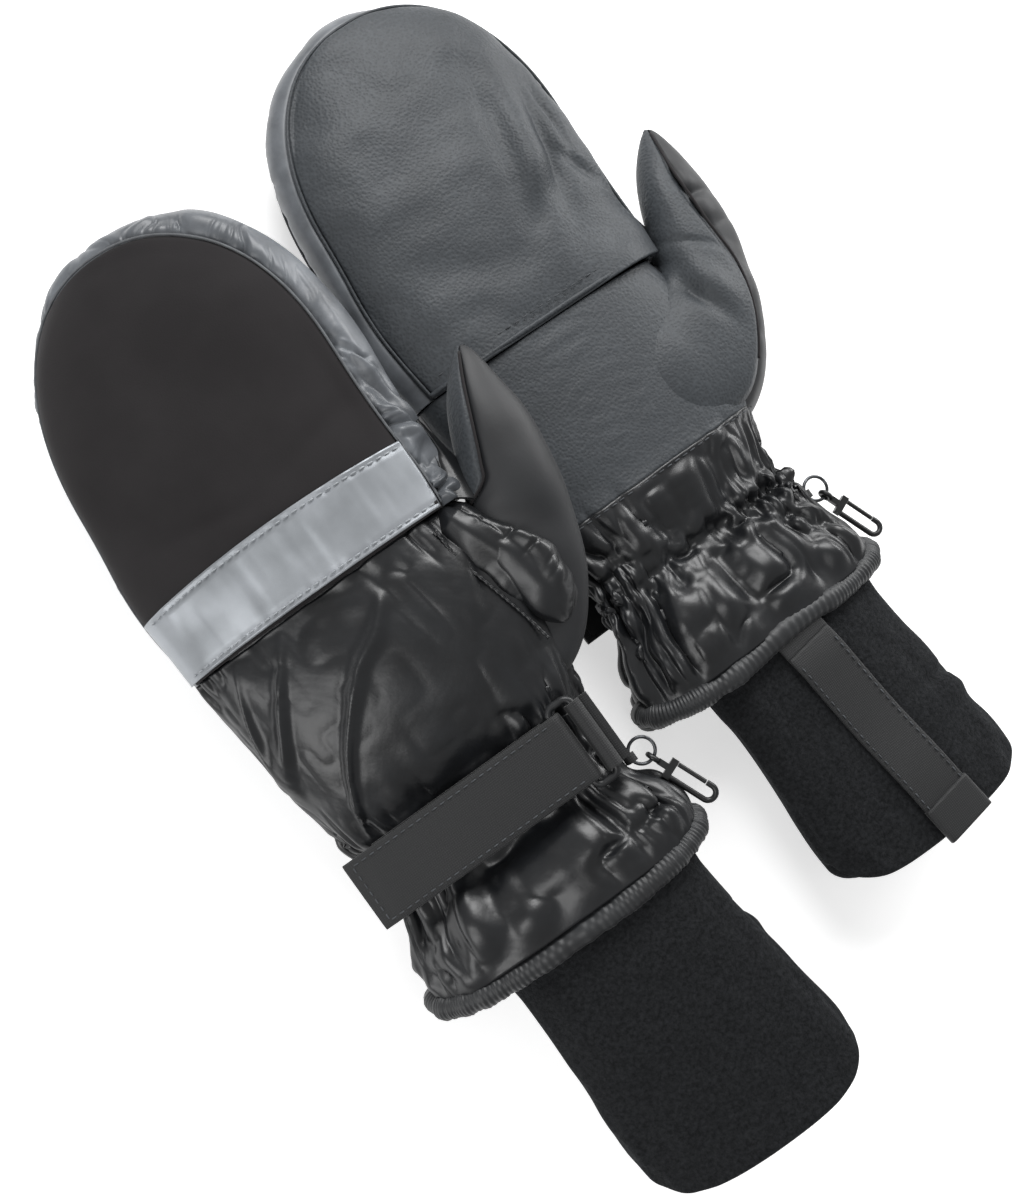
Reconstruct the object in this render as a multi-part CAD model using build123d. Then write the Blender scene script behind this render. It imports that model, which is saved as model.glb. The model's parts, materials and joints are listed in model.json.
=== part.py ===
from build123d import *
from math import cos, pi, radians, sin
import os

# Convertible flip-top mittens, a left and a right, in millimetres.
# Each mitten is drawn in its own frame: +X to the thumb, +Y to the fingertips, Z = 0 at the palm and
# Z = THICK at the back of the hand, with Y = 0 at the middle of the wrist.
# The left one lies palm down and is rolled, so that its thumb rests over the right one's outer edge.
# The right one is the left one mirrored in Z, so it lies palm up.

# ---- driving sizes ----
THICK = 38.0            # mitten, palm to back
FABRIC = 2.0            # outer fabric with its padding
LINING = 1.5            # fleece linings and the inner glove
LAYER_GAP = 0.3         # between two layers, and between bodies

HAND_WIDTH = 102.0      # at the knuckles
CAP_WIDTH = 112.0
CAP_MID_X = -6.0        # the cap's centre line
KNUCKLE_Y = 87.0        # the cap's hinge line
CAP_TIP_Y = 219.5
CAP_SIDE_Y = 152.0      # where the cap's straight sides turn into its round tip
CAP_RIM = 9.0           # how far the edge of the cap rounds in, seen from above
BAND_WIDTH = 25.0
BAND_THICK = 1.2
SEAM_Z = 10.0           # the gusset runs between the seams at this depth from each face

WRIST_ABOVE = 4.5       # of the elastic, past the strap on the hand side
WRIST_BELOW = 5.0       # and on the cuff side
WRIST_WIDTH = 88.0
WRIST_MID_X = -4.0
WRIST_DROP = 8.5        # the waist is this much below the back of the hand
WRIST_RISE = 5.0        # and this much above the palm
WRIST_RIM = 5.0
HEEL_Y = 24.0           # seam between the palm and its heel

THUMB_ROOT_X = HAND_WIDTH / 2 - 9 + LAYER_GAP
THUMB_SEAM_X = 56.0

GAUNTLET_END_Y = -43.0
GAUNTLET_WIDTH = 106.0
HEM_LENGTH = 9.0
HEM_THICK = 5.0
CUFF_END_Y = -141.0
CUFF_WIDTH = 74.0
CUFF_CLEAR = 2.0        # between the fleece and the hem
CUFF_WALL = 3.0
CUFF_MID_X = 6.0

STALL_RADIUS = 8.5
STALL_PITCH = 21.0
STALL_END_Y = KNUCKLE_Y + 20.0
STALL_RISE = 1.5        # of the stalls, above the middle of the hand

STRAP_WIDTH = 25.0
STRAP_THICK = 1.8
STRAP_MID_Y = -1.0
STRAP_FREE_X = -53.5    # free end, past the outer edge of the wrist
RING_X = 29.0           # the bar that the strap folds round
RING_REACH = 8.5        # from that bar to the bar in the tab
RING_WIRE = 1.3
RING_CLEAR = 0.4
PATCH_THICK = 1.4

WEB_WIDTH = 20.0        # pull strap
WEB_THICK = 1.8
WEB_LENGTH = 80.0
WEB_TUCKED = 70.0       # the left one is tucked short, under its cuff
WEB_SKEW = 7.0
WEB_GAP = 2.6           # clear room between the hem and the seam the strap lifts about
WEB_MID_X = 3.0
WEB_TAB = 13.0

SPLIT_RADIUS = 4.5
SPLIT_WIRE = 0.6
SPLIT_Y = -16.0
HOOK_TURN = -68.0       # the hook's direction, from +X
HOOK_WIRE = 1.0
HOOK_HALF = 2.6
HOOK_LENGTH = 24.0
GATE_WIRE = 0.8

ROLL = 16.0             # the left mitten's roll
PAIR_X = 112.0          # from the left mitten's frame to the right one's
PAIR_Y = 34.0

# ---- sizes worked out from those ----
BACK_Z = THICK - BAND_THICK                 # top of the cap's back panel
HAND_TOP_Z = THICK - 1.5
WRIST_TOP_Z = THICK - WRIST_DROP
RING_RADIUS = RING_WIRE + RING_CLEAR + STRAP_THICK   # outside of the strap's fold
RING_Z = WRIST_TOP_Z + LAYER_GAP + RING_RADIUS
HAND_END_Y = KNUCKLE_Y - LAYER_GAP
MID_Z = THICK / 2
STALL_Z = MID_Z + STALL_RISE
WRIST_TOP_Y = STRAP_MID_Y + STRAP_WIDTH / 2 + WRIST_ABOVE
WRIST_END_Y = STRAP_MID_Y - STRAP_WIDTH / 2 - WRIST_BELOW
CUFF_THICK = THICK - 2 * (HEM_THICK + CUFF_CLEAR)
BIG = 400.0


def slab(x=(-BIG, BIG), y=(-BIG, BIG), z=(-BIG, BIG)):
    """A box from its ranges, used for cutting."""
    size = [x[1] - x[0], y[1] - y[0], z[1] - z[0]]
    return Pos((x[0] + x[1]) / 2, (y[0] + y[1]) / 2, (z[0] + z[1]) / 2) * Box(*size)


def barrel(outline, z0, z1, rim):
    """Loft an outline through five heights: drawn in by rim at both faces and full at mid height."""
    levels = [(0, 1.0), (0.2, 0.3), (0.5, 0.0), (0.8, 0.3), (1, 1.0)]
    return loft([Pos(0, 0, z0 + share * (z1 - z0)) * outline(rim * inset) for share, inset in levels])


def tip_points(half, tip_y, count=5, power=2.3):
    """Points of the round tip, a superellipse from the outer side over to the thumb side."""
    rise = tip_y - CAP_SIDE_Y
    points = []
    for step in range(2 * count + 1):
        turn = pi * step / (2 * count)
        across = abs(cos(turn)) ** (2 / power) * half
        across = -across if turn < pi / 2 else across
        points.append((CAP_MID_X + across, CAP_SIDE_Y + rise * abs(sin(turn)) ** (2 / power)))
    return points


def cap_outline(inset, mouth_y=KNUCKLE_Y, extra=0.0):
    """Straight sides from the mouth and a round tip."""
    half = CAP_WIDTH / 2 - inset - extra
    tip = tip_points(half, CAP_TIP_Y - inset - extra)
    left, right = (tip[0][0], mouth_y), (tip[-1][0], mouth_y)
    edges = [Line(left, tip[0]), Spline(tip, tangents=[(0, 1), (0, -1)]), Line(tip[-1], right), Line(right, left)]
    return make_face(edges)


def cap_solid(skin, mouth_y=KNUCKLE_Y):
    """The cap's outer form, smaller by skin all round."""
    def outline(inset):
        return cap_outline(inset, mouth_y, skin)
    return barrel(outline, skin, BACK_Z - skin, CAP_RIM)


def cap_shell():
    return cap_solid(0) - cap_solid(FABRIC, KNUCKLE_Y - 5)


def tube_outline(left, right, extra):
    """A closed outline between two side curves, each a list of points from the top down."""
    left = [(x + extra, y) for x, y in left]
    right = [(x - extra, y) for x, y in right]
    return make_face([Spline(left), Line(left[-1], right[-1]), Spline(right), Line(right[0], left[0])])


def tube_solid(left, right, z0, z1, rim, skin=0.0, reach=0.0):
    """A flattened tube between two side curves; reach carries both ends on, for a cutting core."""
    def outline(inset):
        ends = [left[0][1] + reach] + [y for _, y in left[1:-1]] + [left[-1][1] - reach]
        near = [(x, y) for (x, _), y in zip(left, ends)]
        far = [(x, y) for (x, _), y in zip(right, ends)]
        return tube_outline(near, far, inset + skin)
    return barrel(outline, z0 + skin, z1 - skin, rim)


def tube_shell(left, right, z0, z1, rim, wall):
    return tube_solid(left, right, z0, z1, rim) - tube_solid(left, right, z0, z1, rim, wall, 3.0)


def hand_sides(skin=0.0):
    """Side curves of the hand, knuckles to wrist."""
    outer = CAP_MID_X - HAND_WIDTH / 2 - 3
    inner = THUMB_ROOT_X - LAYER_GAP
    wrist_left = WRIST_MID_X - WRIST_WIDTH / 2
    wrist_right = WRIST_MID_X + WRIST_WIDTH / 2
    rows = [HAND_END_Y, HAND_END_Y - 25, HAND_END_Y - 48, WRIST_TOP_Y]
    left = [(outer, rows[0]), (outer + 1, rows[1]), (outer + 5, rows[2]), (wrist_left, rows[3])]
    right = [(inner, rows[0]), (inner - 1, rows[1]), (inner - 1, rows[2]), (wrist_right, rows[3])]
    return [(x + skin, y) for x, y in left], [(x - skin, y) for x, y in right]


def thumb_window():
    """The way from the hand into the thumb."""
    return slab((THUMB_ROOT_X - 14, THUMB_ROOT_X + 2), (30, 68), (MID_Z - 9, MID_Z + 9))


def hand_shell():
    left, right = hand_sides()
    return tube_shell(left, right, 0, HAND_TOP_Z, CAP_RIM, FABRIC) - thumb_window()


def thumb_solid(skin):
    """Ellipses carried along the thumb, from the side of the hand to the tip."""
    stations = [(THUMB_ROOT_X, 49, 0, 24, 13), (60, 61, 45, 17, 13.5), (66, 90, 86, 14, 13),
                (70.5, 112, 76, 12.5, 12), (74, 125.5, 72, 6, 6)]
    sections = []
    for x, y, turn, across, high in stations:
        first = x == THUMB_ROOT_X
        back = skin if first else 0.0
        tip_back = skin if y > 120 else 0.0
        spot = (x - back - tip_back * cos(radians(turn)), y - tip_back * sin(radians(turn)), MID_Z)
        facing = (cos(radians(turn)), sin(radians(turn)), 0)
        plane = Plane(origin=spot, x_dir=(-facing[1], facing[0], 0), z_dir=facing)
        sections.append(plane * Ellipse(across - skin, high - skin))
    return loft(sections)


def thumb_shell():
    return thumb_solid(0) - thumb_solid(FABRIC)


# ---- cap ----
def cap_back_panel():
    return cap_shell() & slab(z=(BACK_Z - SEAM_Z, BIG))


def cap_gusset():
    return cap_shell() & slab(z=(SEAM_Z, BACK_Z - SEAM_Z))


def cap_palm_panel():
    return cap_shell() & slab(y=(KNUCKLE_Y + 6, BIG), z=(-BIG, SEAM_Z))


def cap_hem_binding():
    return cap_shell() & slab(y=(-BIG, KNUCKLE_Y + 6), z=(-BIG, SEAM_Z))


def cap_band():
    """Flat tape on the back panel, at the hinge line."""
    half = CAP_WIDTH / 2 - CAP_RIM - 1
    x = (CAP_MID_X - half, CAP_MID_X + half)
    return slab(x, (KNUCKLE_Y, KNUCKLE_Y + BAND_WIDTH), (BACK_Z, THICK))


def cap_lining():
    skin = FABRIC + LAYER_GAP
    return cap_solid(skin, KNUCKLE_Y + 1) - cap_solid(skin + LINING, KNUCKLE_Y - 5)


# ---- hand ----
def hand_back():
    return hand_shell() & slab(z=(MID_Z, BIG))


def palm_panel():
    return hand_shell() & slab(y=(HEEL_Y, BIG), z=(-BIG, MID_Z))


def palm_heel_panel():
    return hand_shell() & slab(y=(-BIG, HEEL_Y), z=(-BIG, MID_Z))


def thumb_gusset():
    return thumb_shell() & slab(x=(THUMB_ROOT_X, THUMB_SEAM_X))


def thumb_back():
    return thumb_shell() & slab(x=(THUMB_SEAM_X, BIG), z=(MID_Z, BIG))


def thumb_pad():
    return thumb_shell() & slab(x=(THUMB_SEAM_X, BIG), z=(-BIG, MID_Z))


def finger_liner():
    """Inner glove: a pocket inside the hand, open at the wrist, with four open half-finger stalls."""
    skin = FABRIC + LAYER_GAP
    end_y = HAND_END_Y - 4
    left, right = hand_sides(skin)
    body = tube_solid(left, right, skin, HAND_TOP_Z - skin, CAP_RIM) & slab(y=(WRIST_TOP_Y, end_y))
    core = tube_solid(left, right, skin, HAND_TOP_Z - skin, CAP_RIM, LINING, 3.0)
    body -= core & slab(y=(-BIG, end_y - LINING))
    start_y = end_y - LINING / 2
    for place in (-1.5, -0.5, 0.5, 1.5):
        x = CAP_MID_X + place * STALL_PITCH
        stall = Cylinder(STALL_RADIUS, STALL_END_Y - start_y)
        bore = Cylinder(STALL_RADIUS - LINING, STALL_END_Y - start_y + 10)
        spot = Pos(x, (STALL_END_Y + start_y) / 2, STALL_Z) * Rot(90, 0, 0)
        body = body + spot * stall - spot * bore
    return body - thumb_window()


# ---- wrist and cuff ----
def wrist_elastic():
    left_x, right_x = WRIST_MID_X - WRIST_WIDTH / 2 + 1, WRIST_MID_X + WRIST_WIDTH / 2 - 1
    rows = [WRIST_TOP_Y - 0.2, 5, -8, WRIST_END_Y + 0.2]
    left = [(left_x, rows[0]), (left_x + 1, rows[1]), (left_x + 1, rows[2]), (left_x, rows[3])]
    right = [(right_x, rows[0]), (right_x - 1, rows[1]), (right_x - 1, rows[2]), (right_x, rows[3])]
    return tube_shell(left, right, WRIST_RISE, WRIST_TOP_Z, WRIST_RIM, FABRIC)


def gauntlet_sides():
    half = GAUNTLET_WIDTH / 2
    rows = [WRIST_END_Y, WRIST_END_Y - 6, WRIST_END_Y - 14, GAUNTLET_END_Y]
    spread = [half - 8, half - 3, half - 1, half]
    left = [(WRIST_MID_X - s, y) for s, y in zip(spread, rows)]
    right = [(WRIST_MID_X + s, y) for s, y in zip(spread, rows)]
    return left, right


def gauntlet():
    left, right = gauntlet_sides()
    return tube_shell(left, right, 0.5, THICK - 1, CAP_RIM, FABRIC)


def hem_binding():
    half = GAUNTLET_WIDTH / 2 + 1
    rows = [GAUNTLET_END_Y, GAUNTLET_END_Y - 3, GAUNTLET_END_Y - 6, GAUNTLET_END_Y - HEM_LENGTH]
    left = [(WRIST_MID_X - half, y) for y in rows]
    right = [(WRIST_MID_X + half, y) for y in rows]
    return tube_shell(left, right, 0, THICK, CAP_RIM, HEM_THICK)


def fleece_cuff():
    half = CUFF_WIDTH / 2
    rows = [WRIST_END_Y, -60, -100, CUFF_END_Y]
    lean = [-4, -2, 1, 4]
    left = [(CUFF_MID_X - half + s, y) for s, y in zip(lean, rows)]
    right = [(CUFF_MID_X + half + s, y) for s, y in zip(lean, rows)]
    z0 = MID_Z - CUFF_THICK / 2
    return tube_shell(left, right, z0, z0 + CUFF_THICK, CAP_RIM - 1, CUFF_WALL)


# ---- wrist strap ----
def strap_rows():
    return STRAP_MID_Y - STRAP_WIDTH / 2, STRAP_MID_Y + STRAP_WIDTH / 2


def strap_under_layer():
    end_x = RING_X - RING_RADIUS - LAYER_GAP
    start_x = WRIST_MID_X - WRIST_WIDTH / 2 + WRIST_RIM + 1
    return slab((start_x, end_x), strap_rows(), (RING_Z - RING_RADIUS, RING_Z - RING_RADIUS + STRAP_THICK))


def loop_patch():
    """Soft half of the closure, on the lower run."""
    start_x = WRIST_MID_X - WRIST_WIDTH / 2 + WRIST_RIM + 2
    z0 = RING_Z - RING_RADIUS + STRAP_THICK
    rows = (STRAP_MID_Y - STRAP_WIDTH / 2 + 2, STRAP_MID_Y + STRAP_WIDTH / 2 - 2)
    return slab((start_x, start_x + 42), rows, (z0, z0 + PATCH_THICK))


def hook_patch():
    """Hooked half of the closure, under the free end."""
    z1 = RING_Z + RING_RADIUS - STRAP_THICK
    rows = (STRAP_MID_Y - STRAP_WIDTH / 2 + 2, STRAP_MID_Y + STRAP_WIDTH / 2 - 2)
    return slab((STRAP_FREE_X + 3, STRAP_FREE_X + 30), rows, (z1 - PATCH_THICK, z1))


def wrist_strap():
    """Upper run with its fold round the ring's bar."""
    run = slab((STRAP_FREE_X, RING_X), strap_rows(), (RING_Z + RING_RADIUS - STRAP_THICK, RING_Z + RING_RADIUS))
    spot = Pos(RING_X, STRAP_MID_Y, RING_Z) * Rot(90, 0, 0)
    fold = spot * Cylinder(RING_RADIUS, STRAP_WIDTH)
    bore = spot * Cylinder(RING_RADIUS - STRAP_THICK, STRAP_WIDTH + 2)
    return run + fold - bore


def strap_ring():
    """Rectangular wire ring, lying in the plane of the strap."""
    half = STRAP_WIDTH / 2 + 1 + RING_WIRE
    corner = 2.5
    path = RectangleRounded(RING_REACH, 2 * half, corner).wire()
    start = path @ 0
    section = Plane(origin=start, z_dir=path % 0) * Circle(RING_WIRE)
    return Pos(RING_X + RING_REACH / 2, STRAP_MID_Y, RING_Z) * sweep(section, path)


def ring_tab():
    """Webbing fold round the ring's outer bar, sewn down beside the wrist."""
    outer = RING_WIRE + 0.1 + 1.5
    spot = Pos(RING_X + RING_REACH, STRAP_MID_Y, RING_Z) * Rot(90, 0, 0)
    tail = slab((RING_X + RING_REACH, RING_X + RING_REACH + 6), strap_rows(), (RING_Z - outer, RING_Z - outer + 1.5))
    fold = spot * Cylinder(outer, STRAP_WIDTH)
    return fold + tail - spot * Cylinder(RING_WIRE + 0.1, STRAP_WIDTH + 2)


# ---- snap hook ----
def split_x():
    return WRIST_MID_X + WRIST_WIDTH / 2 + 2.5 + SPLIT_RADIUS


def hook_tab():
    """Small webbing loop through which the wire ring passes."""
    x = split_x() - SPLIT_RADIUS
    spot = Pos(x, SPLIT_Y, MID_Z) * Rot(90, 0, 0)
    bore = SPLIT_WIRE + 0.5
    tail = slab((x - 2.5, x), (SPLIT_Y - 1.5, SPLIT_Y + 1.5), (MID_Z - bore - 0.9, MID_Z - bore))
    return spot * Cylinder(bore + 0.9, 3) + tail - spot * Cylinder(bore, 5)


def split_ring():
    return Pos(split_x(), SPLIT_Y, MID_Z) * Torus(SPLIT_RADIUS, SPLIT_WIRE)


def hook_place():
    """Carries the hook's own frame, with +X along it, from its eye on the wire ring to its nose."""
    turn = radians(HOOK_TURN)
    spot = (split_x() + SPLIT_RADIUS * cos(turn), SPLIT_Y + SPLIT_RADIUS * sin(turn), MID_Z)
    return Pos(*spot) * Rot(0, 0, HOOK_TURN)


def spring_hook():
    """An eye round the wire ring, a neck and an oval hook open on one side for the gate."""
    eye_radius = 2.0
    neck_x, nose_x = 7.0, HOOK_LENGTH - HOOK_HALF
    eye = Rot(90, 0, 0) * Torus(eye_radius, 0.9)
    neck = slab((eye_radius, neck_x), (-1.1, 1.1), (-1.0, 1.0))
    base = slab((neck_x - 1.5, neck_x + 1), (-HOOK_HALF - 1, HOOK_HALF + 1), (-1.2, 1.2))
    spine = Line((neck_x, -HOOK_HALF), (nose_x, -HOOK_HALF))
    bend = RadiusArc((nose_x, -HOOK_HALF), (nose_x, HOOK_HALF), -HOOK_HALF)
    lip = Line((nose_x, HOOK_HALF), (nose_x - 2.0, HOOK_HALF))
    path = Wire([spine.edge(), bend.edge(), lip.edge()])
    section = Plane(origin=path @ 0, z_dir=path % 0) * Circle(HOOK_WIRE)
    return hook_place() * (eye + neck + base + sweep(section, path))


def hook_gate():
    """Round bar that closes the hook; its pivot is at the base end."""
    start_x, end_x = 8.3, HOOK_LENGTH - HOOK_HALF - 2.4
    bar = Pos((start_x + end_x) / 2, HOOK_HALF, 0) * Rot(0, 90, 0) * Cylinder(GATE_WIRE, end_x - start_x)
    return hook_place() * bar


# ---- pull strap ----
def web_place():
    """Carries the pull strap's own frame, with -Y along it, from its seam at the hem."""
    return Pos(WEB_MID_X, GAUNTLET_END_Y - HEM_LENGTH - WEB_GAP, 0) * Rot(0, 0, WEB_SKEW)


def web_top_z():
    return MID_Z - CUFF_THICK / 2 - LAYER_GAP


def pull_strap(length=WEB_LENGTH):
    z1 = web_top_z()
    half = WEB_WIDTH / 2
    return web_place() * slab((-half, half), (-length, -1.5), (z1 - WEB_THICK, z1))


def pull_strap_tab(length=WEB_LENGTH):
    """End of the strap, folded back and sewn."""
    z1 = web_top_z()
    half = WEB_WIDTH / 2 + 0.5
    end = slab((-half, half), (-length - WEB_TAB, -length), (z1 - 2 * WEB_THICK, z1))
    return web_place() * end


PIECES = [cap_back_panel, cap_band, cap_gusset, cap_palm_panel, cap_hem_binding, cap_lining,
          hand_back, palm_panel, palm_heel_panel, thumb_back, thumb_pad, thumb_gusset, finger_liner,
          wrist_elastic, gauntlet, hem_binding, fleece_cuff,
          strap_under_layer, loop_patch, wrist_strap, hook_patch, strap_ring, ring_tab,
          hook_tab, split_ring, spring_hook, hook_gate, pull_strap, pull_strap_tab]


def lowest(parts):
    return min(part.bounding_box().min.Z for part in parts.values())


def build_pair():
    """Both mittens in place: the left rolled, the right turned palm up, and both down on Z = 0."""
    own = {piece.__name__: piece() for piece in PIECES}
    right = {name: mirror(part, about=Plane.XY) for name, part in own.items()}
    own.update(pull_strap=pull_strap(WEB_TUCKED), pull_strap_tab=pull_strap_tab(WEB_TUCKED))
    left = {name: Rot(0, -ROLL, 0) * part for name, part in own.items()}
    left_drop, right_drop = lowest(left), lowest(right)
    print("lowest points before standing down", left_drop, right_drop)
    placed = {}
    for name in own:
        placed["left_" + name] = Pos(0, 0, -left_drop) * left[name]
        placed["right_" + name] = Pos(PAIR_X, PAIR_Y, -right_drop) * right[name]
    return placed


def main():
    placed = build_pair()
    boxes = [part.bounding_box() for part in placed.values()]
    mid_x = (min(box.min.X for box in boxes) + max(box.max.X for box in boxes)) / 2
    mid_y = (min(box.min.Y for box in boxes) + max(box.max.Y for box in boxes)) / 2
    os.makedirs("parts", exist_ok=True)
    for name, part in placed.items():
        export_step(Pos(-mid_x, -mid_y, 0) * part, f"parts/{name}.step")
    print("origin shift", -mid_x, -mid_y)


main()
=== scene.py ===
"""Convertible flip-top mittens: fabric, leather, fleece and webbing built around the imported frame."""
import json
import math

import bmesh
import bpy
import numpy as np
from mathutils import Matrix, Vector


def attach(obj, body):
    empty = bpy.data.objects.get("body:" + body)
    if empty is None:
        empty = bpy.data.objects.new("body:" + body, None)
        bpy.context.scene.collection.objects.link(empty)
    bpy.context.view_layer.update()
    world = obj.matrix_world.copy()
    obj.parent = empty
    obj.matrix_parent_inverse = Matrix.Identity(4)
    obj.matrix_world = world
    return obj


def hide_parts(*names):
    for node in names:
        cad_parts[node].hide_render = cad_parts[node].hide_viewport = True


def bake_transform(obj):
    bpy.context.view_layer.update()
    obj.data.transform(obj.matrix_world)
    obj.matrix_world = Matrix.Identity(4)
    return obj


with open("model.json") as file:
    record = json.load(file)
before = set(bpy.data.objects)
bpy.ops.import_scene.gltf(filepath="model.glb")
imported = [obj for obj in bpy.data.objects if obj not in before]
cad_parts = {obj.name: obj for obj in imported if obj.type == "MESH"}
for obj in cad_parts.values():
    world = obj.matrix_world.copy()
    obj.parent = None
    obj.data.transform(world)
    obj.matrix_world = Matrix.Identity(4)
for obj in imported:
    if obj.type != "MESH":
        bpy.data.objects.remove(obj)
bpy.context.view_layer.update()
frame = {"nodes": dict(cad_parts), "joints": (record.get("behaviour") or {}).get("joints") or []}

MM = 0.001
FLOOR_CLEAR = 0.0002
SIDES = ("left", "right")

# ---- sizes in millimetres, in each mitten's own frame: +X thumb, +Y fingertips, Z from palm to back ----
THICK = 38.0
KNUCKLE_Y = 87.0
CAP_MID_X = -6.0
CAP_HALF = 56.0
CAP_TIP_Y = 219.5
CAP_SIDE_Y = 152.0
MID_Z = THICK / 2
BAND_WIDTH = 25.0
HEM_Y = -47.0
CUFF_END_Y = -144.0


# ---------------------------------------------------------------- placing
def joint(name):
    """The frame's record of a joint."""
    return next(j for j in frame["joints"] if j["name"] == name)


def own_frame(side):
    """Origin in metres and the three unit directions of a mitten's own frame, from its cap hinge."""
    hinge = joint(side + "_cap_flip")
    across = np.array(hinge["axis"], float)
    along = np.array([0.0, 1.0, 0.0])
    if across[0] < 0:
        across = -across
        up = -np.cross(across, along)
    else:
        up = np.cross(across, along)
    origin = np.array(hinge["pos_m"], float) - (along * KNUCKLE_Y + up * THICK) * MM
    return origin, np.array([across, along, up])


FRAMES = {side: own_frame(side) for side in SIDES}


def place(points, side):
    """From a mitten's own millimetres to metres in the shared frame."""
    origin, axes = FRAMES[side]
    spots = origin + (np.asarray(points, float) @ axes) * MM
    spots[..., 2] = np.maximum(spots[..., 2], FLOOR_CLEAR)      # the mittens lie on the floor
    return spots


# ---------------------------------------------------------------- small maths
def spow(value, power):
    """Power that keeps the sign."""
    return np.sign(value) * np.abs(value) ** power


def smooth(edge0, edge1, value):
    """Eased step from 0 at the first edge to 1 at the second."""
    t = np.clip((value - edge0) / (edge1 - edge0), 0, 1)
    return t * t * (3 - 2 * t)


def bump(value, centre, width):
    """Bell curve, 1 at its centre."""
    return np.exp(-((value - centre) / width) ** 2)


def curve(where, knots, values):
    """Catmull-Rom curve through the values at the knots, which rise."""
    knots, values = np.asarray(knots, float), np.asarray(values, float)
    slopes = np.gradient(values, knots)
    where = np.clip(where, knots[0], knots[-1])
    i = np.clip(np.searchsorted(knots, where, side="right") - 1, 0, len(knots) - 2)
    gap = knots[i + 1] - knots[i]
    t = (where - knots[i]) / gap
    rise = (1 + 2 * t) * (1 - t) ** 2 * values[i] + t * t * (3 - 2 * t) * values[i + 1]
    return rise + (t * (1 - t) ** 2 * slopes[i] - t * t * (1 - t) * slopes[i + 1]) * gap


def noise(u, v, seed):
    """Smooth random height from -1 to 1: random values on a lattice, blended with an eased weight."""
    table = np.random.default_rng(seed).uniform(-1, 1, (97, 97))
    u, v = np.broadcast_arrays(u, v)
    iu, iv = np.floor(u).astype(int), np.floor(v).astype(int)
    fu, fv = u - iu, v - iv
    fu, fv = fu ** 3 * (6 * fu * fu - 15 * fu + 10), fv ** 3 * (6 * fv * fv - 15 * fv + 10)
    a, b = table[iu % 97, iv % 97], table[(iu + 1) % 97, iv % 97]
    c, d = table[iu % 97, (iv + 1) % 97], table[(iu + 1) % 97, (iv + 1) % 97]
    return (a * (1 - fu) + b * fu) * (1 - fv) + (c * (1 - fu) + d * fu) * fv


def billow(u, v, seed):
    """Rounded puffs with sharp valleys between them: the size of smooth noise, without its sign."""
    return np.abs(noise(u, v, seed)) * 2 - 0.7


def ring_noise(turn, v, seed, count):
    """Noise that closes on itself around a tube: turn is 0 to 1 around, count its cells around."""
    here = noise(turn * count, v, seed)
    there = noise((turn - 1) * count, v, seed)
    mix = smooth(0.85, 1.0, turn)
    return here * (1 - mix) + there * mix


def ring_billow(turn, v, seed, count):
    """Rounded puffs, as billow makes them, that close on themselves around a tube."""
    return np.abs(ring_noise(turn, v, seed, count)) * 2 - 0.7


def normals_of(grid, closed=False, pole=None):
    """Unit normals of a grid, from the cross product of its two directions; pole where there is none."""
    if closed:
        around = np.roll(grid, -1, 0) - np.roll(grid, 1, 0)
    else:
        around = np.gradient(grid, axis=0)
    along = np.gradient(grid, axis=1)
    across = np.cross(around, along)
    size = np.linalg.norm(across, axis=-1, keepdims=True)
    across = across / np.maximum(size, 1e-9)
    outward = grid - grid.reshape(-1, 3).mean(0)
    if (across * outward).sum() < 0:
        across = -across
    if pole is not None:
        across = np.where(size < 1e-3, np.asarray(pole, float), across)
    return across


def push(grid, amount, closed=False, pole=None):
    """Moves a grid's points along its normals."""
    return grid + normals_of(grid, closed, pole) * np.asarray(amount)[..., None]


# ---------------------------------------------------------------- meshes
def grid_faces(rows, cols, closed=False):
    """Quads of a grid of points, joined up around its first direction if it is closed."""
    a, b = np.meshgrid(np.arange(rows if closed else rows - 1), np.arange(cols - 1), indexing="ij")
    a2 = (a + 1) % rows
    quads = [a * cols + b, a2 * cols + b, a2 * cols + b + 1, a * cols + b + 1]
    return np.stack(quads, -1).reshape(-1, 4)


def ring_quads(count, sides):
    """Quads between rings of points that follow one another, each ring closed on itself."""
    a, b = np.meshgrid(np.arange(count - 1), np.arange(sides), indexing="ij")
    b2 = (b + 1) % sides
    quads = [a * sides + b, a * sides + b2, (a + 1) * sides + b2, (a + 1) * sides + b]
    return np.stack(quads, -1).reshape(-1, 4)


def new_object(name, points, faces):
    """A smooth-shaded mesh object at the origin, from lists of points in metres and of faces."""
    mesh = bpy.data.meshes.new(name)
    mesh.from_pydata(points, [], faces)
    mesh.polygons.foreach_set("use_smooth", [True] * len(mesh.polygons))
    obj = bpy.data.objects.new(name, mesh)
    bpy.context.collection.objects.link(obj)
    return obj


def mesh_from(name, points, faces, side, weld=False):
    """A mesh object from points in a mitten's own frame, merged where they meet if asked."""
    obj = new_object(name, place(points.reshape(-1, 3), side).tolist(), faces.tolist())
    if weld:
        merge(obj)
    return obj


def merge(obj, distance=0.00002):
    """Joins points closer than a distance in metres, and drops the faces that this leaves flat."""
    work = bmesh.new()
    work.from_mesh(obj.data)
    bmesh.ops.remove_doubles(work, verts=work.verts, dist=distance)
    bmesh.ops.dissolve_degenerate(work, dist=0.000001, edges=work.edges)
    work.to_mesh(obj.data)
    work.free()


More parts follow.
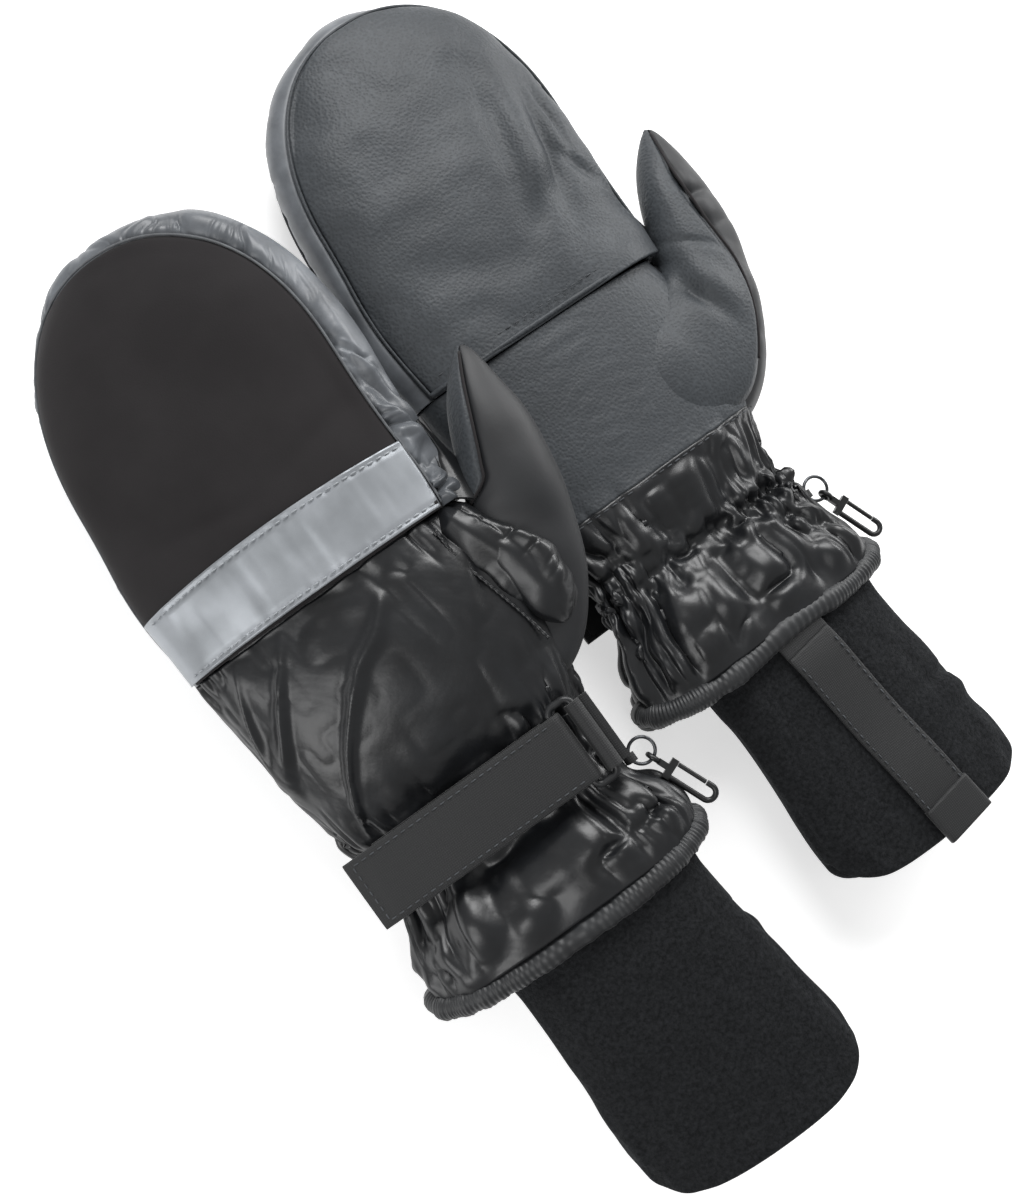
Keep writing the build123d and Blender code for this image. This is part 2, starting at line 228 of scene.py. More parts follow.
def face_out(obj, centre):
    """Turns every face so that, on the whole, the faces look away from a point."""
    mesh = obj.data
    count = len(mesh.polygons)
    normals, mids, areas = np.empty(count * 3), np.empty(count * 3), np.empty(count)
    mesh.polygons.foreach_get("normal", normals)
    mesh.polygons.foreach_get("center", mids)
    mesh.polygons.foreach_get("area", areas)
    away = mids.reshape(-1, 3) - centre
    if ((normals.reshape(-1, 3) * away).sum(1) * areas).sum() < 0:
        mesh.flip_normals()


def give_wall(obj, wall):
    """Thickens a skin inwards, by millimetres."""
    solid = obj.modifiers.new("wall", "SOLIDIFY")
    solid.thickness = wall * MM
    solid.offset = -1


def sheet_piece(name, side, grid, closed=False, wall=1.6, weld=False, out=None):
    """A skin over a grid, given its thickness inwards."""
    obj = mesh_from(name, grid, grid_faces(grid.shape[0], grid.shape[1], closed), side, weld)
    centre = place(grid.reshape(-1, 3).mean(0) if out is None else np.array(out, float), side)
    face_out(obj, centre)
    if wall:
        give_wall(obj, wall)
    return obj


def cut_piece(name, side, grid, keep, wall, out):
    """A skin over the faces of a grid, closed around, that the mask keeps."""
    faces = grid_faces(grid.shape[0], grid.shape[1], True)
    faces = faces[keep.reshape(-1)[faces].all(1)]
    used, found = np.unique(faces, return_inverse=True)
    obj = mesh_from(name, grid.reshape(-1, 3)[used], found.reshape(-1, 4), side)
    face_out(obj, place(np.array(out, float), side))
    give_wall(obj, wall)
    return obj


def tube_piece(name, side, path, radius, sides):
    """A round tube with flat ends carried along a path; the radius may vary along it."""
    path = np.asarray(path, float)
    tangent = np.gradient(path, axis=0)
    tangent /= np.linalg.norm(tangent, axis=1, keepdims=True)
    side_dir = np.cross(tangent, np.broadcast_to(np.array([0.0, 0.0, 1.0]), path.shape))
    side_dir /= np.maximum(np.linalg.norm(side_dir, axis=1, keepdims=True), 1e-9)
    top_dir = np.cross(side_dir, tangent)
    count = len(path)
    radius = np.broadcast_to(np.asarray(radius, float), (count,))[:, None, None]
    turn = np.arange(sides) / sides * 2 * math.pi
    ring = np.cos(turn)[None, :, None] * side_dir[:, None] + np.sin(turn)[None, :, None] * top_dir[:, None]
    points = (path[:, None] + ring * radius).reshape(-1, 3)
    ends = [list(range(sides)), list(range((count - 1) * sides, count * sides))[::-1]]
    faces = ring_quads(count, sides).tolist() + ends
    obj = new_object(name, place(points, side).tolist(), faces)
    obj.data.polygons.foreach_set("use_smooth", [len(face) == 4 for face in faces])
    outward_faces(obj)
    return obj


def outward_faces(obj):
    """Turns the faces of a closed mesh outwards."""
    work = bmesh.new()
    work.from_mesh(obj.data)
    bmesh.ops.recalc_face_normals(work, faces=work.faces)
    work.to_mesh(obj.data)
    work.free()


THREAD_SIDES = 6
THREAD_LIFT = 0.15                  # of a thread's middle above its cloth
HEM_STITCH = (2.4, 1.1, 0.25)       # length, gap and radius of a sewn thread
STRAP_STITCH = (2.0, 1.0, 0.25)
BAND_STITCH = (2.2, 1.0, 0.3)


def stitches(name, side, path, up, size):
    """A row of sewn threads: short six-sided capsules laid end to end along a path, just proud of it."""
    length, gap, radius = size
    path, up = np.asarray(path, float), np.asarray(up, float)
    up = np.broadcast_to(up, path.shape)
    steps = np.linalg.norm(np.diff(path, axis=0), axis=1)
    run = np.concatenate([[0], np.cumsum(steps)])
    count = max(int(run[-1] / (length + gap)), 1)
    starts = (np.arange(count) + 0.5) * (run[-1] / count) - length / 2

    def at(where):
        spot = np.stack([np.interp(where, run, path[:, k]) for k in range(3)], -1)
        lean = np.stack([np.interp(where, run, up[:, k]) for k in range(3)], -1)
        return spot, lean / np.linalg.norm(lean, axis=-1, keepdims=True)

    shares = np.array([0.0, 0.2, 0.8, 1.0])
    girth = np.array([0.35, 1.0, 1.0, 0.35]) * radius
    sink = np.array([-1.0, 0.0, 0.0, -1.0]) * radius
    spot, lean = at(starts[:, None] + shares[None] * length)
    along = spot[:, -1] - spot[:, 0]
    along /= np.linalg.norm(along, axis=-1, keepdims=True)
    across = np.cross(along[:, None], lean)
    turn = np.arange(THREAD_SIDES) / THREAD_SIDES * 2 * math.pi
    centre = spot + lean * (THREAD_LIFT + sink)[None, :, None]
    ring = np.cos(turn)[:, None] * across[:, :, None] + np.sin(turn)[:, None] * lean[:, :, None]
    points = centre[:, :, None] + ring * girth[None, :, None, None]
    each_has = len(shares) * THREAD_SIDES
    ends = [list(range(THREAD_SIDES))[::-1], list(range(each_has - THREAD_SIDES, each_has))]
    one = ring_quads(len(shares), THREAD_SIDES).tolist() + ends
    faces = [[each_has * thread + corner for corner in face] for thread in range(count) for face in one]
    obj = new_object(name, place(points.reshape(-1, 3), side).tolist(), faces)
    outward_faces(obj)
    return obj


# ---------------------------------------------------------------- materials
def linear(hexa):
    """sRGB hex to linear colour."""
    parts = [int(hexa[i:i + 2], 16) / 255 for i in (1, 3, 5)]
    return [c / 12.92 if c <= 0.04045 else ((c + 0.055) / 1.055) ** 2.4 for c in parts] + [1.0]


def add(tree, kind, inputs=None, **settings):
    """Adds a node, sets its properties, and links or sets its inputs."""
    node = tree.nodes.new(kind)
    for key, value in settings.items():
        setattr(node, key, value)
    for key, value in (inputs or {}).items():
        if isinstance(value, bpy.types.NodeSocket):
            tree.links.new(value, node.inputs[key])
        else:
            node.inputs[key].default_value = value
    return node


def new_material(name, **shader):
    """A material of one Principled surface, its sockets named with _ for each space."""
    material = bpy.data.materials.new(name)
    material.use_nodes = True
    tree = material.node_tree
    tree.nodes.clear()
    out = add(tree, "ShaderNodeOutputMaterial")
    surface = add(tree, "ShaderNodeBsdfPrincipled")
    for key, value in shader.items():
        surface.inputs[key.replace("_", " ")].default_value = value
    tree.links.new(surface.outputs[0], out.inputs[0])
    return material, tree, surface


def tint(tree, surface, factor, stops):
    """Colours the surface from a factor, between (place, hex) stops."""
    node = add(tree, "ShaderNodeValToRGB", {"Fac": factor})
    while len(node.color_ramp.elements) < len(stops):
        node.color_ramp.elements.new(0.5)
    for element, (spot, colour) in zip(node.color_ramp.elements, stops):
        element.position = spot
        element.color = linear(colour)
    tree.links.new(node.outputs[0], surface.inputs["Base Color"])


def softshell():
    """Woven softshell, matt: charcoal, a fine crosswise weave and a little lint."""
    material, tree, surface = new_material("softshell", Roughness=0.95, Sheen_Weight=0.06,
                                           Sheen_Roughness=0.5, Specular_IOR_Level=0.25)
    where = add(tree, "ShaderNodeTexCoord").outputs["Object"]
    cloud = add(tree, "ShaderNodeTexNoise", {"Vector": where, "Scale": 28.0, "Detail": 4.0})
    tint(tree, surface, cloud.outputs[0], [(0.3, "#252324"), (0.7, "#2d2b2c")])
    weave = add(tree, "ShaderNodeTexNoise", {"Vector": where, "Scale": 1400.0, "Detail": 2.0})
    relief = add(tree, "ShaderNodeBump", {"Height": weave.outputs[0], "Strength": 0.25, "Distance": 0.0002})
    tree.links.new(relief.outputs[0], surface.inputs["Normal"])
    return material


def nylon(name, dark, light, rough, soft=0.16):
    """Coated nylon taffeta over padding: smooth, glossy, with fine puckers, and its colour lighter and darker
    in random patches.
    """
    material, tree, surface = new_material(name, Roughness=rough, Sheen_Weight=0.05, Sheen_Roughness=0.4,
                                           Specular_IOR_Level=0.6)
    where = add(tree, "ShaderNodeTexCoord").outputs["Object"]
    cloud = add(tree, "ShaderNodeTexNoise", {"Vector": where, "Scale": 60.0, "Detail": 5.0, "Roughness": 0.6})
    tint(tree, surface, cloud.outputs[0], [(0.3, dark), (0.72, light)])
    spread = add(tree, "ShaderNodeMapRange", {"Value": cloud.outputs[0],
                                              "To Min": rough - 0.06, "To Max": rough + 0.08})
    tree.links.new(spread.outputs[0], surface.inputs["Roughness"])
    fine = add(tree, "ShaderNodeTexNoise", {"Vector": where, "Scale": 900.0, "Detail": 2.0})
    creases = add(tree, "ShaderNodeTexNoise", {"Vector": where, "Scale": 140.0, "Detail": 3.0})
    first = add(tree, "ShaderNodeBump", {"Height": creases.outputs[0], "Strength": soft, "Distance": 0.0008})
    relief = add(tree, "ShaderNodeBump", {"Height": fine.outputs[0], "Strength": 0.12, "Distance": 0.0002,
                                          "Normal": first.outputs[0]})
    tree.links.new(relief.outputs[0], surface.inputs["Normal"])
    return material


def palm_leather():
    """Coated synthetic leather: fine pebbled grain, semi-matt cool grey, paler on the raised grain."""
    material, tree, surface = new_material("synthetic leather", Roughness=0.52, Specular_IOR_Level=0.4)
    where = add(tree, "ShaderNodeTexCoord").outputs["Object"]
    grain = add(tree, "ShaderNodeTexVoronoi", {"Vector": where, "Scale": 1000.0}, feature="SMOOTH_F1")
    cloud = add(tree, "ShaderNodeTexNoise", {"Vector": where, "Scale": 45.0, "Detail": 4.0})
    mix = add(tree, "ShaderNodeMath", {0: grain.outputs[0], 1: cloud.outputs[0]}, operation="MULTIPLY_ADD")
    mix.inputs[2].default_value = 0.36
    tint(tree, surface, mix.outputs[0], [(0.25, "#2f3235"), (0.8, "#43474b")])
    relief = add(tree, "ShaderNodeBump", {"Height": grain.outputs[0], "Strength": 0.45, "Distance": 0.0004})
    tree.links.new(relief.outputs[0], surface.inputs["Normal"])
    return material


def fleece():
    """Brushed knit fleece: matt black with a short fuzzy nap that catches light at the edges."""
    material, tree, surface = new_material("brushed fleece", Roughness=1.0, Sheen_Weight=0.35,
                                           Sheen_Roughness=0.5,
                                           Specular_IOR_Level=0.1, Sheen_Tint=linear("#6a6d70"))
    where = add(tree, "ShaderNodeTexCoord").outputs["Object"]
    nap = add(tree, "ShaderNodeTexNoise", {"Vector": where, "Scale": 700.0, "Detail": 4.0, "Roughness": 0.7})
    tint(tree, surface, nap.outputs[0], [(0.35, "#161718"), (0.7, "#2b2c2e")])
    relief = add(tree, "ShaderNodeBump", {"Height": nap.outputs[0], "Strength": 0.9, "Distance": 0.0008})
    tree.links.new(relief.outputs[0], surface.inputs["Normal"])
    return material


def webbing():
    """Woven nylon webbing: a tight plain weave of about 0.8 mm picks, drawn a little coarse to show."""
    material, tree, surface = new_material("nylon webbing", Roughness=0.62, Sheen_Weight=0.15)
    where = add(tree, "ShaderNodeTexCoord").outputs["Object"]
    picks = {"Vector": where, "Scale": 420.0, "Distortion": 1.5}
    across = add(tree, "ShaderNodeTexWave", picks, bands_direction="Y")
    along = add(tree, "ShaderNodeTexWave", picks, bands_direction="X")
    both = add(tree, "ShaderNodeMath", {0: across.outputs["Fac"], 1: along.outputs["Fac"]},
               operation="MULTIPLY")
    tint(tree, surface, both.outputs[0], [(0.0, "#141516"), (0.9, "#232426")])
    relief = add(tree, "ShaderNodeBump", {"Height": both.outputs[0], "Strength": 0.3, "Distance": 0.0003})
    tree.links.new(relief.outputs[0], surface.inputs["Normal"])
    return material


def reflective_tape():
    """Glass-bead reflective fabric: pale silver grey, soft metallic sheen, faint rubbing."""
    material, tree, surface = new_material("reflective tape", Metallic=0.5, Roughness=0.42)
    where = add(tree, "ShaderNodeTexCoord").outputs["Object"]
    cloud = add(tree, "ShaderNodeTexNoise", {"Vector": where, "Scale": 50.0, "Detail": 5.0})
    tint(tree, surface, cloud.outputs[0], [(0.3, "#8d9195"), (0.7, "#a9adb2")])
    beads = add(tree, "ShaderNodeTexNoise", {"Vector": where, "Scale": 1800.0, "Detail": 1.0})
    relief = add(tree, "ShaderNodeBump", {"Height": beads.outputs[0], "Strength": 0.15, "Distance": 0.0001})
    tree.links.new(relief.outputs[0], surface.inputs["Normal"])
    return material


def moulded(name, dark, light, rough):
    """Moulded acetal or painted wire: black, slightly satin, with fine moulding unevenness."""
    material, tree, surface = new_material(name, Roughness=rough)
    where = add(tree, "ShaderNodeTexCoord").outputs["Object"]
    cloud = add(tree, "ShaderNodeTexNoise", {"Vector": where, "Scale": 300.0, "Detail": 3.0})
    tint(tree, surface, cloud.outputs[0], [(0.3, dark), (0.7, light)])
    relief = add(tree, "ShaderNodeBump", {"Height": cloud.outputs[0], "Strength": 0.1, "Distance": 0.0002})
    tree.links.new(relief.outputs[0], surface.inputs["Normal"])
    return material


def ring_steel():
    """Black-nickel plated steel wire: dark, polished by wear."""
    material, tree, surface = new_material("plated wire", Metallic=1.0, Roughness=0.3)
    where = add(tree, "ShaderNodeTexCoord").outputs["Object"]
    cloud = add(tree, "ShaderNodeTexNoise", {"Vector": where, "Scale": 400.0, "Detail": 3.0})
    tint(tree, surface, cloud.outputs[0], [(0.3, "#3b3c3e"), (0.7, "#6a6c6f")])
    spread = add(tree, "ShaderNodeMapRange", {"Value": cloud.outputs[0], "To Min": 0.22, "To Max": 0.42})
    tree.links.new(spread.outputs[0], surface.inputs["Roughness"])
    return material


MATERIALS = {
    "softshell": softshell(),
    "reflective_tape": reflective_tape(),
    "thumb_fabric": nylon("thumb fabric", "#141518", "#1c1e21", 0.55, soft=0.1),
    # the gusset is the same dark nylon as the rest; its lighter grey colours are a painted highlight for the
    # strong light it catches
    "gusset_nylon": nylon("gusset nylon painted lit", "#4a4d51", "#74787d", 0.40),
    "palm_leather": palm_leather(),
    "quilted_nylon": nylon("padded nylon", "#0e0f11", "#181a1d", 0.34),
    "binding_nylon": nylon("binding nylon", "#1c1d1f", "#2b2d2f", 0.48),
    "fleece": fleece(),
    "webbing": webbing(),
    "loop_pile": fleece(),
    "hook_pile": moulded("hook tape", "#141516", "#1f2021", 0.7),
    "black_plastic": moulded("black acetal", "#17181a", "#232426", 0.4),
    "ring_steel": ring_steel(),
    "black_steel": moulded("black coated wire", "#111213", "#1d1e1f", 0.35),
    "thread": moulded("sewing thread", "#3a3c3f", "#505357", 0.8),
    "edge_cord": moulded("edge cord", "#4c4e51", "#616467", 0.6),
    "pale_thread": moulded("pale thread", "#8f9397", "#b1b5b9", 0.8),
}


def finish(obj, side, group, slot, replaces=(), look=None):
    """Gives a piece its material, picked by its slot or its look, attaches it to its body if it has one, and
    hides the frame's nodes that it stands for.
    """
    obj.data.materials.clear()
    obj.data.materials.append(MATERIALS[look or slot])
    if group:
        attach(obj, f"{side}_{group}")
    if replaces:
        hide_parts(*[f"{side}_{node}" for node in replaces])
    return obj


# ---------------------------------------------------------------- the cap
CAP_OUTLINE, CAP_REACH, CAP_RISE = 2.15, 2.7, 2.5     # roundness of its outline and of its section
TIP_Y = {"left": 225.5, "right": 219.5}
OUTER_SWELL = 3.5       # of the cap's outer side, beside the band


def cap_edge(s, side):
    """The cap's widest outline, s from 0 at the outer side of the mouth, round the tip, to 1."""
    turn = np.clip((s - 0.2) / 0.6, 0, 1) * math.pi
    y = CAP_SIDE_Y + (TIP_Y[side] - CAP_SIDE_Y) * spow(np.sin(turn), 2 / CAP_OUTLINE)
    y = y - (CAP_SIDE_Y - KNUCKLE_Y) * (np.clip(0.2 - s, 0, 1) + np.clip(s - 0.8, 0, 1)) / 0.2
    x = CAP_MID_X - cap_half(y) * spow(np.cos(turn), 2 / CAP_OUTLINE)
    x = x + np.where(s > 0.5, 3.0 * bump(y, 96, 20), -OUTER_SWELL * bump(y, 108, 30))
    return x + cap_lean(y), y


def cap_half(y):
    """Half the cap's width: it narrows a little towards its mouth."""
    return CAP_HALF - 1.0 - 3.0 * (1 - smooth(KNUCKLE_Y, KNUCKLE_Y + 45, y))


def cap_lean(y):
    """The cap leans a little to the thumb side."""
    return 5.0 * smooth(KNUCKLE_Y, 230, y)


def cap_spine(s, side):
    """The line inside the cap that its surface rises to."""
    turn = np.clip((s - 0.2) / 0.6, 0, 1) * math.pi
    y = cap_edge(s, side)[1]
    low = np.where((s < 0.2) | (s > 0.8), y, CAP_SIDE_Y + 20 * np.sin(turn))
    return CAP_MID_X + cap_lean(low), low


def cap_surface(s, lift, side, shrink=0.0):
    """A point on the cap: s round the outline, lift from -90 at the palm's middle to 90 at the back's."""
    angle = np.radians(lift)
    ex, ey = cap_edge(s, side)
    sx, sy = cap_spine(s, side)
    reach = np.abs(np.cos(angle)) ** (2 / CAP_REACH)
    x, y = sx + (ex - sx) * reach, sy + (ey - sy) * reach
    slim = 1 - 0.10 * smooth(160, 225, y)
    top, low = (THICK - 0.6 - MID_Z) * slim, (MID_Z - 0.4) * slim
    tall = np.where(angle > 0, top, low) - shrink
    z = MID_Z + tall * spow(np.sin(angle), 2 / CAP_RISE)
    if shrink:
        x = CAP_MID_X + (x - CAP_MID_X) * (1 - shrink / CAP_HALF)
        y = np.where(y > CAP_SIDE_Y, y - shrink * (y - CAP_SIDE_Y) / (CAP_TIP_Y - CAP_SIDE_Y), y)
    return np.stack([x, y, z], -1)


def back_seam(s):
    """Lift of the seam between back and gusset: at the edge on the outer side, well in on the thumb side."""
    return 6.0 + 32.0 * smooth(0.22, 0.62, s) - 4.0 * smooth(0.85, 1.0, s)


def palm_seam(s):
    """Lift of the seam between palm and gusset: well in on the outer side, at the edge on the thumb side."""
    return -30.0 + 22.0 * smooth(0.45, 0.75, s)


def cap_grid(rows, cols, low, high):
    """Grid of outline share and lift between two seams, or from a seam to the middle of a face."""
    s = np.linspace(0, 1, rows)
    s = (s - 0.5) * 0.65 + 0.5 + 0.175 * np.sin((s - 0.5) * math.pi)
    share = np.linspace(0, 1, cols)[None]
    start = low(s)[:, None] if callable(low) else low
    stop = high(s)[:, None] if callable(high) else high
    lift = start + (stop - start) * share
    return s[:, None] + 0 * lift, lift, share + 0 * lift


def cap_back(side):
    """Charcoal softshell back: nearly flat, with a few soft dents near the thumb side of the band."""
    s, lift, share = cap_grid(260, 64, back_seam, 90.0)
    grid = cap_surface(s, lift, side)
    x, y = grid[..., 0], grid[..., 1]
    seed = 5 if side == "left" else 6
    dents = -1.0 * bump(x - 0.3 * (y - 120), 34, 9) * bump(y, 128, 22)
    dents = dents - 0.8 * bump(y - 0.25 * x, 124, 4) * bump(x, 22, 18) + 0.9 * noise(x / 34, y / 30, seed)
    dents = dents - 0.6 * bump(y + 0.2 * x, 121, 3.5) * bump(x, -25, 20)
    amount = dents * smooth(0.0, 0.25, share) - 0.9 * bump(share, 0, 0.03)
    amount = np.where(y < 114, np.minimum(amount, 0.3), amount)
    grid = push(grid, amount, pole=(0, 0, 1))
    obj = sheet_piece(f"{side}_cap_back", side, grid, weld=True)
    return finish(obj, side, "cap", "softshell", ["cap_back_panel"])


def cap_gusset(side):
    """Dark nylon strip round the cap, coloured a lighter grey as a painted highlight: gathered by the seam of
    the back, most of all on the thumb side.
    """
    s, lift, t = cap_grid(900, 46, palm_seam, back_seam)
    grid = cap_surface(s, lift, side)
    seed = 11 if side == "left" else 15
    gathered = 0.3 + 0.5 * smooth(0.40, 0.62, s) + 0.7 * smooth(0.72, 0.92, s)
    near = smooth(0.3, 1.0, t)
    wander = 0.9 * noise(s * 22, t * 2, seed)
    pucker = billow(s * 42 + wander, t * 1.8, seed + 1)
    fine = billow(s * 105 + 2 * wander, t * 2.6, seed + 2)
    folds = billow(s * 26 + 1.6 * t + wander, t * 1.2, seed + 3)
    amount = gathered * (1.9 * pucker * near + 0.8 * fine * near ** 2)
    amount = amount + 3.0 * folds * smooth(0.72, 0.95, s) * np.sin(math.pi * t)
    amount = amount + 2.4 * np.sin(math.pi * t) ** 0.7 - 1.3 + 1.0 * noise(s * 16, t * 1.5, seed + 4)
    amount = amount - 1.2 * (bump(t, 0, 0.06) + bump(t, 1, 0.07))
    grid = push(grid, amount)
    obj = sheet_piece(f"{side}_cap_gusset", side, grid)
    return finish(obj, side, "cap", "gusset_nylon", ["cap_gusset"])


def cap_palm(side):
    """Leather palm of the cap, with soft folds at the thumb side that end in a pinched gap."""
    s, lift, share = cap_grid(300, 80, -90.0, palm_seam)
    grid = cap_surface(s, lift, side)
    x, y = grid[..., 0], grid[..., 1]
    seed = 21 if side == "right" else 25
    lean = x - 0.28 * (y - 140)
    folds = -3.6 * bump(lean, 33, 3.2) * bump(y, 142, 17) + 2.4 * bump(lean, 24, 6) * bump(y, 142, 28)
    folds = folds - 1.5 * bump(lean, 16, 5) * bump(y, 150, 26)
    slant = y - 0.55 * x
    folds = folds - 1.3 * bump(slant, 112, 6) * bump(x, 24, 16) + 1.0 * bump(slant, 122, 6) * bump(x, 26, 16)
    folds = folds - 3.0 * bump(x - 0.15 * (y - 150), 43, 1.8) * bump(y, 150, 12)
    folds = folds - 2.0 * bump(x + 0.5 * (y - 128), 40, 3) * bump(y, 126, 9)
    folds = folds - 0.9 * bump(y + 0.5 * x, 108, 8) * bump(x, -22, 22)
    amount = folds + 1.6 * noise(x / 34, y / 28, seed) + 0.5 * noise(x / 12, y / 10, seed + 1)
    amount = amount * smooth(1.0, 0.93, share) - 1.0 * bump(share, 1, 0.03)
    grid = push(grid, amount, pole=(0, 0, -1))
    obj = sheet_piece(f"{side}_cap_palm", side, grid, weld=True)
    return finish(obj, side, "cap", "palm_leather", ["cap_palm_panel"])


def cap_pipings(side):
    """Thin rolled edge where the back meets the gusset, and where the palm does."""
    s = np.linspace(0.004, 0.996, 320)
    for name, seam, radius, slot in (("back", back_seam, 0.45, "softshell"),
                                     ("palm", palm_seam, 0.6, "palm_leather")):
        obj = tube_piece(f"{side}_cap_{name}_piping", side, cap_surface(s, seam(s), side), radius, sides=8)
        finish(obj, side, "cap", slot, look="edge_cord" if name == "back" else slot)


def band_surface(across, along, lift=0.0):
    """The tape, laid over the cap's back: across from 0 at the outer edge to 1, along from hem to top."""
    y = KNUCKLE_Y + 0.5 + along * BAND_WIDTH + (0.5 + 2.0 * along) * np.sin(across * math.pi)
    low = 8.0
    half = cap_half(y)
    start = -half * np.cos(math.radians(low)) ** (2 / CAP_REACH) - OUTER_SWELL
    stop = 0.855 * half + 2.6 * bump(y, 96, 20)
    x = start + across * (stop - start)
    reach = np.clip(np.where(x < 0, -x * half / (half + OUTER_SWELL), x) / half, 0, 0.9999)
    angle = np.arccos(reach ** (CAP_REACH / 2))
    z = MID_Z + (THICK - 0.6 - MID_Z) * np.sin(angle) ** (2 / CAP_RISE)
    return np.stack([x + CAP_MID_X + cap_lean(y), y, z + 1.6 + lift], -1)


def cap_band(side):
    """Silver tape: lies flat with slight waves, its edges sewn down."""
    across, along = np.meshgrid(np.linspace(0, 1, 200), np.linspace(0, 1, 34), indexing="ij")
    grid = band_surface(across, along)
    wave = 0.45 * noise(across * 7, along * 1.5, 31) * np.sin(math.pi * along)
    wave = wave + 0.2 * noise(across * 30, along * 2, 32)
    edge = -0.4 * (bump(along, 0.07, 0.03) + bump(along, 0.93, 0.03))
    grid[..., 2] += wave + edge
    obj = sheet_piece(f"{side}_cap_band", side, grid, wall=0.9)
    finish(obj, side, "cap", "reflective_tape", ["cap_band"])
    for name, where in (("lower", 0.07), ("upper", 0.93)):
        line = np.linspace(0.03, 0.99, 160)
        path = band_surface(line, np.full_like(line, where), 0.1)
        row = stitches(f"{side}_band_{name}_stitches", side, path, (0, 0, 1), BAND_STITCH)
        finish(row, side, "cap", "reflective_tape", look="pale_thread")


def cap_hem(side):
    """Turned and sewn edge of the cap's palm, which closes over the hand's palm."""
    lift = np.linspace(-150, -30, 90)
    s = np.where(lift < -90, 0.0, 1.0)
    mirrored = np.where(lift < -90, -180 - lift, lift)
    path = cap_surface(s, mirrored, side)
    path[:, 1] = KNUCKLE_Y + 1.4
    obj = tube_piece(f"{side}_cap_hem", side, path, 1.0, sides=10)
    finish(obj, side, "cap", "palm_leather", ["cap_hem_binding"])
    path = path[np.abs(path[:, 2]) < 6]
    path = path + np.array([0, 4.0, -0.2])
    row = stitches(f"{side}_cap_hem_stitches", side, path, (0, 0, -1), HEM_STITCH)
    finish(row, side, "cap", "palm_leather", look="thread")


def cap_lining(side):
    """Fleece pocket inside the cap."""
    s = np.linspace(0, 1, 90)
    for name, low, high in (("back", 0, 89.9), ("palm", -89.9, 0)):
        a, b = np.meshgrid(s, np.linspace(low, high, 24), indexing="ij")
        grid = cap_surface(a, b, side, shrink=3.2)
        grid[..., 1] = np.maximum(grid[..., 1], KNUCKLE_Y + 0.8)
        obj = sheet_piece(f"{side}_cap_lining_{name}", side, grid, wall=1.0, weld=True)
        finish(obj, side, "cap", "fleece", ["cap_lining"] if name == "back" else [])


# ---------------------------------------------------------------- hand, wrist and gauntlet as one tube
TUBE_Y = [-52, -44, -36, -26, -18, -12, -2, 8, 14, 22, 35, 55, 70, 87]
TUBE_LEFT = [-53, -55, -55, -53, -49, -47.5, -47, -48, -50.5, -53, -56, -58, -59.5, -60]
TUBE_RIGHT = [48, 48, 47, 44, 40, 39, 38, 39, 41, 44, 48, 50, 48, 44]
TUBE_TOP = [36, 37, 37, 34, 29, 27.6, 27.4, 27.8, 30, 33.5, 35.4, 36, 36, 35.6]
TUBE_LOW = [2, 1.2, 1.2, 2.8, 5, 6, 6, 5.5, 4, 2.6, 1.8, 1.6, 1.6, 1.8]
STRAP_LOW_Y, STRAP_HIGH_Y = -14.0, 12.0
ELASTIC_Y = -6.0
TUBE_ROWS, TUBE_COLS = 192, 84       # points simulated around and along
CLOTH_SCALE = 0.01      # simulated in decimetres, which cloth settings are made for


def tube_base(turn, y):
    """Flattened tube: turn 0 to 1 from the thumb side over the back, outer side and palm."""
    left, right = curve(y, TUBE_Y, TUBE_LEFT), curve(y, TUBE_Y, TUBE_RIGHT)
    top, low = curve(y, TUBE_Y, TUBE_TOP), curve(y, TUBE_Y, TUBE_LOW)
    angle = turn * 2 * math.pi
    x = (left + right) / 2 + (right - left) / 2 * spow(np.cos(angle), 2 / 2.6)
    z = (top + low) / 2 + (top - low) / 2 * spow(np.sin(angle), 2 / 2.5)
    return np.stack([x, y, z], -1)


def on_back(turn):
    """1 over the back of the tube, and 0 on its palm side."""
    return smooth(0.0, 0.04, turn) * smooth(0.5, 0.46, turn)


def under_strap(turn, y):
    """1 where the wrist strap lies over the back."""
    above, below = smooth(STRAP_LOW_Y - 2, STRAP_LOW_Y + 2, y), smooth(STRAP_HIGH_Y + 2, STRAP_HIGH_Y - 2, y)
    return on_back(turn) * above * below


def tube_start(turn, y, side):
    """What the cloth starts from: narrow gathers at the elastic that widen above and below it."""
    seed = 41 if side == "left" else 47
    back = on_back(turn)
    shift = 0.7 * noise(turn * 9, y / 14, seed)
    tight = ring_billow(turn, y / 10 + shift, seed + 1, 38)
    wide = ring_billow(turn, y / 24 + shift, seed + 2, 22)
    elastic = bump(y, ELASTIC_Y, 8) * (1 - 0.7 * back)
    above = smooth(-4, 6, y) * smooth(32, 10, y)
    below = smooth(-9, -17, y) * smooth(-49, -36, y)
    amount = 3.6 * tight * elastic + 2.2 * wide * above + 3.2 * wide * below
    diagonal = noise(turn * 13 + y / 30, y / 95, seed + 4)
    long_folds = np.exp(-(diagonal * 4.5) ** 2) * smooth(10, 26, y) * smooth(88, 60, y) * back
    under_band = ring_billow(turn, y / 18, seed + 5, 30) * smooth(66, 84, y) * back
    swell = noise(turn * 9, y / 40, seed + 6) * smooth(84, 70, y) * smooth(-48, -40, y)
    return amount + 3.4 * long_folds + 1.3 * under_band + 1.0 * swell * (0.3 + 0.7 * back)


